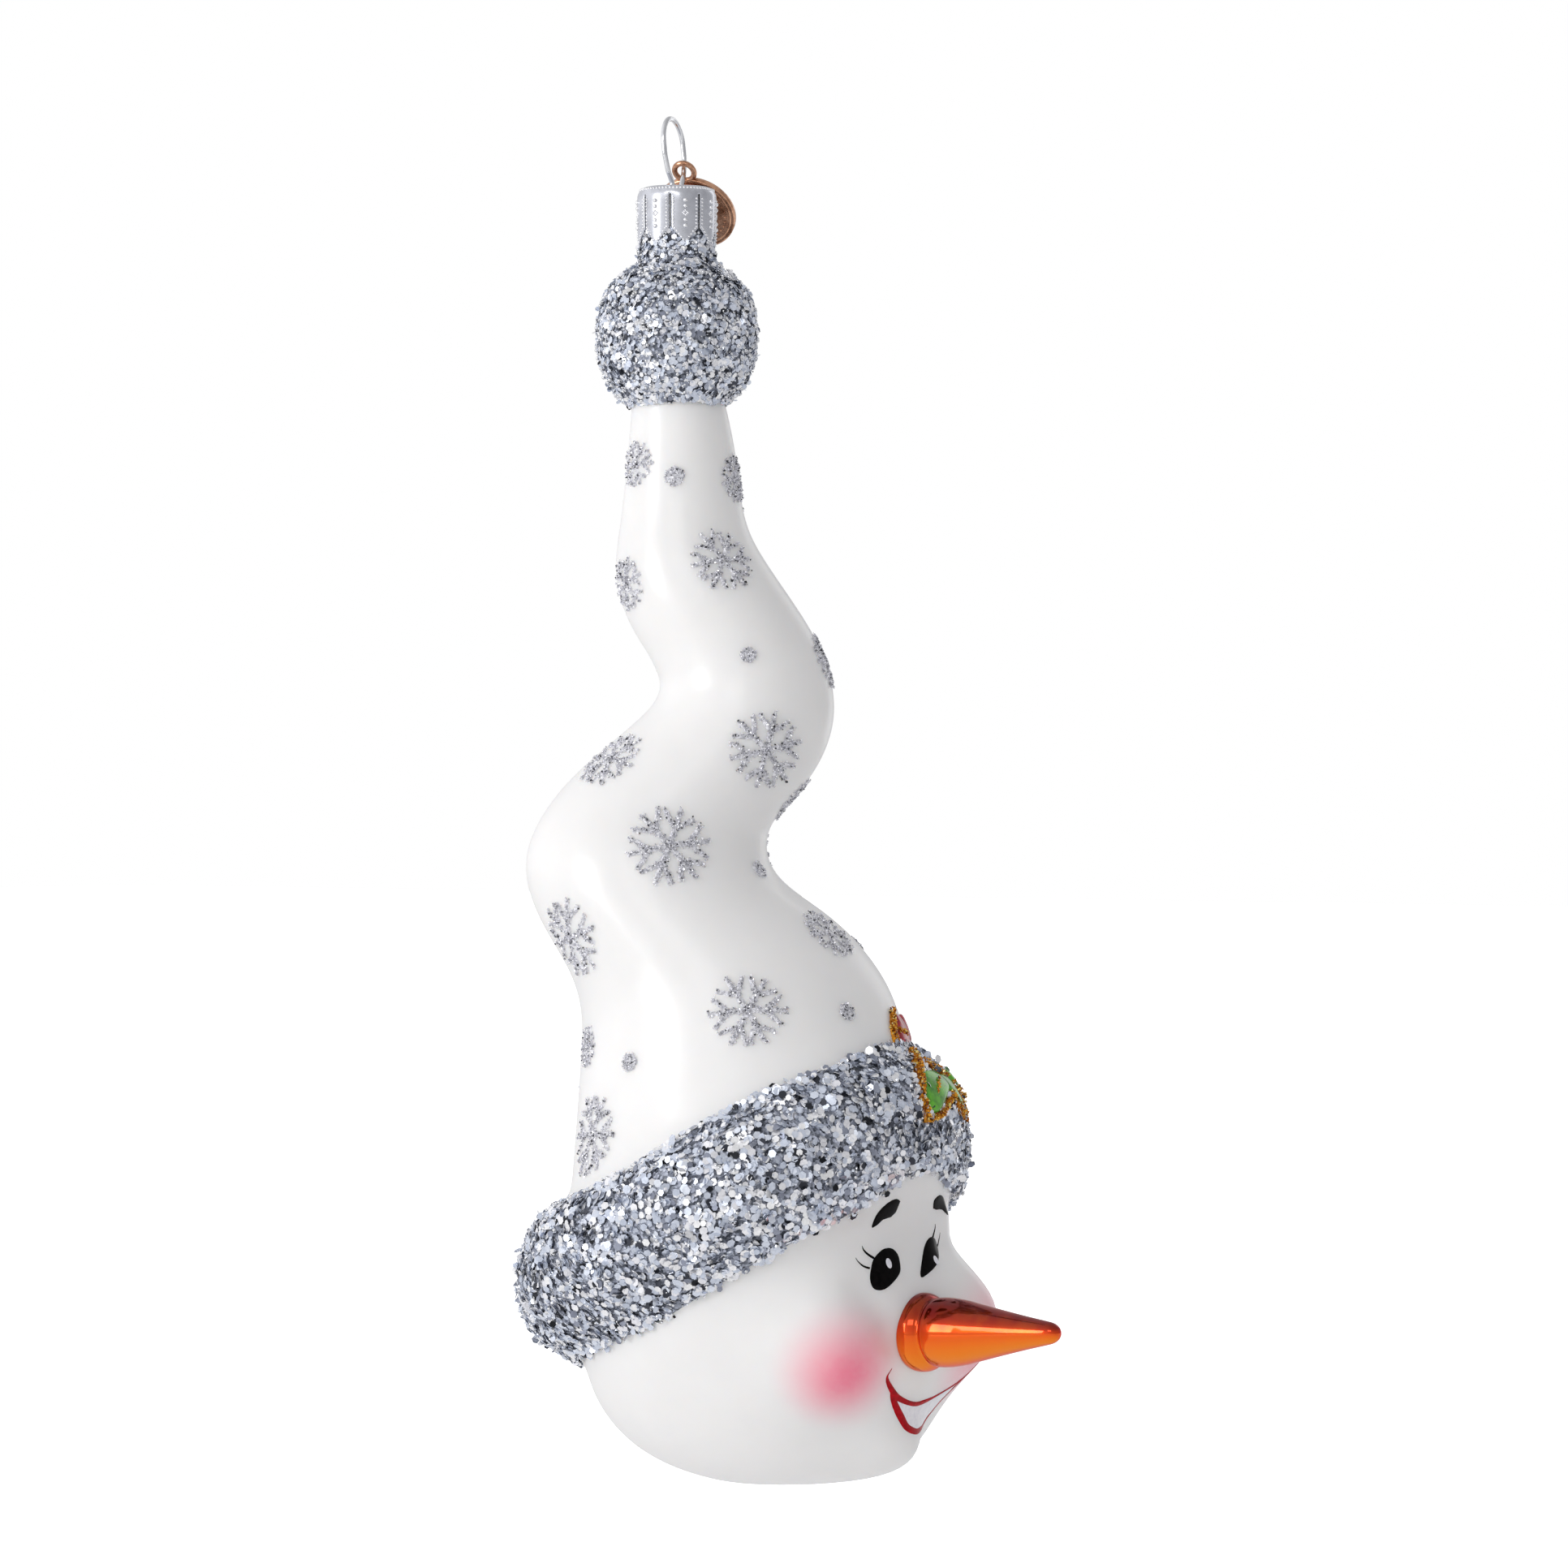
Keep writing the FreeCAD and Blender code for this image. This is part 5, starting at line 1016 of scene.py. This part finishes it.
# ------------------------------------------------------------------ nose
def mat_lustre_painted_shade():
    m = Mat("orange_lustre_glass_painted_shade")
    geo = m.node("ShaderNodeNewGeometry")
    painted_shade_normal = m.node("ShaderNodeSeparateXYZ")
    m.link(geo.outputs["Normal"], painted_shade_normal.inputs[0])
    # Painted shade: the base colour runs from lighter orange where the surface faces down to darker red where it
    # faces up, following the normal's Z.
    base = m.ramp(m.span(painted_shade_normal.outputs["Z"], -1.0, 1.0, 0.0, 1.0),
                  [(0.06, srgb(1.0, 0.58, 0.05)), (0.36, srgb(0.99, 0.44, 0.015)), (0.58, srgb(0.90, 0.22, 0.0)), (0.74, srgb(0.62, 0.03, 0.0)), (0.94, srgb(0.44, 0.005, 0.0))])
    n = m.noise(240.0, 3.0)
    c = m.mix(m.span(n, 0.3, 0.7, 0.0, 0.20), base, srgb(1.0, 0.52, 0.05))
    m.link(c, m.b.inputs["Base Color"])
    m.b.inputs["Specular Tint"].default_value = (0.75, 0.12, 0.02, 1)
    m.set(Metallic=0.84, Roughness=0.11, Coat_Weight=0.55, Coat_Roughness=0.03)
    m.bump(m.noise(220.0, 2.0), 0.08, 0.0003)
    return m.m


def nose():
    p = math.radians(3.0)
    d = np.array([0, -math.cos(p), math.sin(p)])
    up = np.array([0, math.sin(p), math.cos(p)])
    side = np.cross(up, d)
    L, R = 24.4, 5.65
    prof = [(R - 0.75, -1.1), (R - 0.35, -0.75), (R - 0.05, -0.1), (R + 0.02, 0.7), (R - 0.10, 1.5), (R - 0.45, 2.2), (R - 0.80, 2.7), (R - 0.88, 3.05),
            (R - 0.72, 3.6), (R - 0.66, 4.4), (R - 0.74, 6.0), (R - 1.05, 8.2), (R - 1.50, 0.42 * L), (R - 2.45, 0.6 * L), (R - 3.25, 0.76 * L),
            (R - 3.85, 0.89 * L), (1.52, L - 1.35), (1.18, L - 0.62), (0.70, L - 0.18), (0.02, L)]
    pr = smooth_line(prof, 6)
    v, f = lathe(pr, 112, NOSE_BASE, side, up, d)
    o = make("carrot_nose", v, f, "figure", mat_lustre_painted_shade())
    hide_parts("nose")


nose()

# ------------------------------------------------------------------ cap
def cap():
    top, R, corner, mid, low = 9.8, 5.75, 1.4, 14.6, 18.5
    slit_top, slit_low, gap, turn = 11.3, 16.2, 0.17, math.radians(-16.0)
    per, b = 22, Build()
    cols = 8 * (per + 1)
    half = math.pi / 8
    angs, kinds = [], []
    for k in range(8):
        c = -math.pi / 2 + half + k * 2 * half
        s = np.linspace(-1, 1, per + 1)
        angs += list(c + s * (half - gap / R))
    angs = np.array(angs) + turn
    S_ = np.tile(np.linspace(-1, 1, per + 1), 8)

    def radius(z, s):
        """Outer radius at depth z below the origin, across a petal."""
        t = np.clip((z - slit_top) / (low - slit_top), 0, 1)
        return R - 0.02 + 0.22 * (1 - s * s) * np.clip((z - top - 0.5) / 1.6, 0, 1) - 0.22 * t ** 3

    rows = []
    for r in (0.0, 1.2, 2.2, 3.2, 3.9):
        rows.append((np.full(cols, r), np.full(cols, -top - 0.10 * (1 - (r / 4.4) ** 2))))
    for a in np.linspace(0, math.pi / 2, 8):
        z = top + corner * (1 - math.cos(a))
        rr = R - corner + corner * math.sin(a)
        extra = radius(np.full(cols, z), S_) - (R - 0.02)
        rows.append((rr + extra * math.sin(a) ** 2, np.full(cols, -z)))
    n_ring = len(rows)
    zs = np.linspace(slit_top, slit_low, 16)[1:]
    for z in zs:
        rows.append((radius(np.full(cols, z), S_), np.full(cols, -z)))
    V = []
    for r, z in rows:
        V.append(np.stack([NECK_X + r * np.cos(angs), NECK_Y + r * np.sin(angs), z], 1))
    # pointed tips: the rows shrink towards each petal's middle
    tips = np.linspace(0, 1, 10)[1:]
    for t in tips:
        z = slit_low + (low - slit_low) * t
        w = 1 - 0.97 * t
        cen = np.repeat(-math.pi / 2 + half + np.arange(8) * 2 * half, per + 1) + turn
        a = cen + (angs - cen) * w
        r = radius(np.full(cols, z), S_ * w)
        V.append(np.stack([NECK_X + r * np.cos(a), NECK_Y + r * np.sin(a), np.full(cols, -z)], 1))
    V = np.array(V)
    faces = []
    for i in range(len(V) - 1):
        for j in range(cols):
            last = (j + 1) % (per + 1) == 0
            if last and i >= n_ring - 1:
                continue
            k = (j + 1) % cols
            faces.append([i * cols + j, (i + 1) * cols + j, (i + 1) * cols + k, i * cols + k])
    b.add(V.reshape(-1, 3), faces)
    me_o = make("pressed_cap", b.verts(), b.f, "cap", TIN)
    sol = me_o.modifiers.new("sheet", "SOLIDIFY")
    sol.thickness = 0.28 * MM
    sol.offset = -1.0
    bpy.context.view_layer.update()
    # embossed beads, in a brighter tin colour than the cap: painted highlight
    P, Rr = [], []

    def bead(ang, z, r, s=0.0):
        rad = float(radius(np.array([z]), np.array([s]))[0]) - 0.02
        if z < top + corner:
            q = (z - top) / corner
            rad = R - corner + corner * math.sqrt(max(0.0, 1 - (1 - q) ** 2)) - 0.03
        P.append((NECK_X + rad * math.cos(ang), NECK_Y + rad * math.sin(ang), -z))
        Rr.append(r)
    for k in range(64):
        bead(2 * math.pi * k / 64, top + 0.50, 0.21)
    for k in range(8):
        c = -math.pi / 2 + half + k * 2 * half + turn
        for sg in (-1, 1):
            for z in np.arange(11.9, slit_low + 0.01, 0.52):
                bead(c + sg * (half - 0.50 / R), z, 0.185, sg * 0.78)
            for t in np.linspace(0.12, 0.84, 5):
                z = slit_low + (low - slit_low) * t
                bead(c + sg * (half - 0.50 / R) * (1 - t), z - 0.15, 0.18, sg * 0.78 * (1 - t))
        for z, r in ((12.2, 0.36), (13.05, 0.32), (15.1, 0.32), (15.95, 0.36)):
            bead(c, z, r)
        for dz, da in ((0, 0.36), (0, -0.36), (0.36, 0), (-0.36, 0), (0.18, 0.18), (-0.18, 0.18), (0.18, -0.18), (-0.18, -0.18)):
            bead(c + da / R, 14.05 + dz, 0.16)
    balls("cap_beading", np.array(P), np.array(Rr), "cap", TIN_BEAD_PAINTED_HIGHLIGHT)
    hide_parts("cap")


cap()

# ------------------------------------------------------------------ wire loop
TURN = math.radians(17.05)
LX = np.array([math.cos(TURN), math.sin(TURN), 0])
LY = np.array([-math.sin(TURN), math.cos(TURN), 0])


def loop_point(a, z):
    lean = 0.86 * max(0.0, (z + 9.3) / 9.3)
    return np.array([NECK_X, NECK_Y, 0]) + LX * a + LY * lean + np.array([0, 0, z])


def wire():
    W, R0, G, E = 0.375, 3.8, 1.85, 3.80
    half = [(R0 * 0.4142, W, 3.55), (R0, W - R0 * 0.5858, 3.55), (R0, -5.15, 2.6), (3.15, -7.45, 2.2), (G, -9.2, 0.9), (G, -18.0, 9.0), (E, -29.5, 0)]
    cs = [(-a, z, r) for a, z, r in reversed(half)] + half
    P = [loop_point(a, z) for a, z, _ in cs]
    path = [P[0]]
    for i in range(1, len(P) - 1):
        a, b = unit(P[i - 1] - P[i]), unit(P[i + 1] - P[i])
        turn = math.pi - math.acos(float(np.clip(a @ b, -1, 1)))
        r = cs[i][2]
        t = r * math.tan(turn / 2)
        n = max(3, int(math.degrees(turn) / 5))
        p1, p2 = P[i] + a * t, P[i] + b * t
        c = P[i] + unit(a + b) * (r / math.cos(turn / 2))
        e1 = unit(p1 - c)
        e2 = unit((p2 - c) - e1 * ((p2 - c) @ e1))
        for k in range(n + 1):
            w = turn * k / n
            path.append(c + r * (e1 * math.cos(w) + e2 * math.sin(w)))
    path.append(P[-1])
    path = np.array(path)
    tan = unit(np.gradient(path, axis=0))
    ref = LY
    n1 = unit(np.cross(tan, ref))
    n2 = np.cross(tan, n1)
    th = 2 * np.pi * np.arange(20) / 20
    rings = path[:, None] + W * (np.cos(th)[None, :, None] * n1[:, None] + np.sin(th)[None, :, None] * n2[:, None])
    f = grid_faces(len(path), 20, wrap=True)
    f.append(list(range(20)))
    f.append([(len(path) - 1) * 20 + j for j in range(20)][::-1])
    o = make("spring_wire", rings.reshape(-1, 3), f, "hanger", WIRE)
    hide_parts("hanger_wire")


wire()

# ------------------------------------------------------------------ medal
def medal():
    T = math.radians(40.5)
    eye = np.array([NECK_X, NECK_Y, 0]) + LX * 3.45 + LY * (0.86 * (9.3 - 7.1) / 9.3) + np.array([0, 0, -7.1])
    d = LX * math.sin(T) + np.array([0, 0, -math.cos(T)])
    n = LX * math.cos(T) + np.array([0, 0, math.sin(T)])
    s = np.cross(n, d)
    c = eye + d * 7.3
    b = Build()
    R = 6.1
    half = [(0.001, 0.38), (1.2, 0.39), (3.0, 0.39), (4.6, 0.38), (5.28, 0.38), (5.42, 0.42), (5.5, 0.475), (5.62, 0.50), (5.85, 0.50), (6.0, 0.46), (R, 0.34)]
    prof = half + [(r, -z) for r, z in reversed(half)]
    v, f = lathe(prof, 120, c, d, s, n)
    b.add(v, f)
    # a plain eight-rayed star and a ring of dots, both faces
    for side in (1, -1):
        for k in range(8):
            a = math.pi / 4 * k + 0.2
            ln = 3.3 if k % 2 == 0 else 2.3
            dd = math.cos(a) * d + math.sin(a) * s
            e = -math.sin(a) * d + math.cos(a) * s
            pts = [c + dd * 0.1 + n * side * 0.62, c + dd * 0.75 + e * 0.42 + n * side * 0.36, c + dd * ln + n * side * 0.36, c + dd * 0.75 - e * 0.42 + n * side * 0.36,
                   c + dd * (ln * 0.45) + n * side * 0.56]
            b.add(pts, [[0, 1, 4], [1, 2, 4], [2, 3, 4], [3, 0, 4]])
        iv, jf = ico()
        for k in range(32):
            a = 2 * math.pi * k / 32
            q = c + (math.cos(a) * d + math.sin(a) * s) * 4.55 + n * side * 0.36
            b.add(q + iv * 0.17, jf.tolist())
    ring = []
    nu, nv = 56, 18
    for i in range(nu):
        a = 2 * math.pi * i / nu
        rd = math.cos(a) * d + math.sin(a) * s
        for j in range(nv):
            w = 2 * math.pi * j / nv
            ring.append(eye + rd * (1.5 + 0.42 * math.cos(w)) + n * 0.42 * math.sin(w))
    fr = [[i * nv + j, ((i + 1) % nu) * nv + j, ((i + 1) % nu) * nv + (j + 1) % nv, i * nv + (j + 1) % nv] for i in range(nu) for j in range(nv)]
    b.add(ring, fr)
    o = make("bronze_medal", b.verts(), b.f, "medal", BRONZE)
    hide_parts("tag")


medal()

# ------------------------------------------------------------------ stage, light, camera
def stage():
    me = bpy.data.meshes.new("floor")
    z, s = -0.262, 6.0
    me.from_pydata([(-s, -s, z), (s, -s, z), (s, s, z), (-s, s, z)], [], [[0, 1, 2, 3]])
    o = bpy.data.objects.new("floor", me)
    SC.collection.objects.link(o)
    m = Mat("pale_floor")
    m.link(m.ramp(m.noise(3.0, 2.0), [(0.3, (0.90, 0.90, 0.90, 1)), (0.7, (0.93, 0.93, 0.93, 1))]), m.b.inputs["Base Color"])
    m.set(Roughness=0.9)
    m.b.inputs["Emission Color"].default_value = (1, 1, 1, 1)
    seen = m.node("ShaderNodeLightPath").outputs["Is Camera Ray"]
    m.link(m.span(seen, 0.0, 1.0, 0.04, 0.8), m.b.inputs["Emission Strength"])
    me.materials.append(m.m)
    w = bpy.data.worlds.new("studio")
    w.use_nodes = True
    nt = w.node_tree
    bg = nt.nodes["Background"]
    tc = nt.nodes.new("ShaderNodeTexCoord")
    dp = nt.nodes.new("ShaderNodeVectorMath")
    dp.operation = "DOT_PRODUCT"
    nt.links.new(tc.outputs["Generated"], dp.inputs[0])
    dp.inputs[1].default_value = (float(RU[0]), float(RU[1]), 0.0)
    mr = nt.nodes.new("ShaderNodeMapRange")
    mr.inputs["From Min"].default_value = -0.7
    mr.inputs["From Max"].default_value = 0.95
    nt.links.new(dp.outputs["Value"], mr.inputs["Value"])
    rp = nt.nodes.new("ShaderNodeValToRGB")
    rp.color_ramp.elements[0].color = (0.93, 0.93, 0.95, 1)
    rp.color_ramp.elements[1].color = (0.43, 0.43, 0.445, 1)
    e = rp.color_ramp.elements.new(0.42)
    e.color = (0.60, 0.60, 0.61, 1)
    nt.links.new(mr.outputs["Result"], rp.inputs["Fac"])
    lp = nt.nodes.new("ShaderNodeLightPath")
    mx = nt.nodes.new("ShaderNodeMix")
    mx.data_type = "RGBA"
    nt.links.new(lp.outputs["Is Camera Ray"], mx.inputs["Factor"])
    nt.links.new(rp.outputs["Color"], mx.inputs["A"])
    mx.inputs["B"].default_value = (1, 1, 1, 1)
    nt.links.new(mx.outputs["Result"], bg.inputs["Color"])
    bg.inputs["Strength"].default_value = 1.0
    SC.world = w


def area(name, loc, target, size, size_y, power, col=(1, 1, 1)):
    L = bpy.data.lights.new(name, "AREA")
    L.shape = "RECTANGLE"
    L.size, L.size_y, L.energy, L.color = size, size_y, power, col
    o = bpy.data.objects.new(name, L)
    o.location = loc
    o.rotation_euler = (Vector(target) - Vector(loc)).to_track_quat("-Z", "Y").to_euler()
    SC.collection.objects.link(o)
    return o


def at_view(u, w, z):
    """A point by right, away and up from the hanging line, metres, in the main view's turn."""
    return (u * RU[0] + w * RW[0], u * RU[1] + w * RW[1], z)


stage()
MID = (0, -0.005, -0.11)
area("key", at_view(-0.95, -0.60, 0.13), MID, 0.40, 0.45, 3.3)
area("front", at_view(-0.25, -1.0, 0.45), MID, 0.5, 0.3, 1.0)
area("rim", at_view(0.6, 0.9, 0.1), MID, 0.4, 1.0, 0.8)

cam = bpy.data.cameras.new("camera")
cam.lens = 131.98
cam.sensor_width = 36.0
cam.clip_start, cam.clip_end = 0.05, 50
co = bpy.data.objects.new("camera", cam)
co.location = (-0.65980, -0.53660, -0.09798)
co.rotation_euler = (math.radians(90), 0, math.radians(-52))
SC.collection.objects.link(co)
SC.camera = co
SC.view_settings.view_transform = "Standard"
SC.view_settings.look = "None"
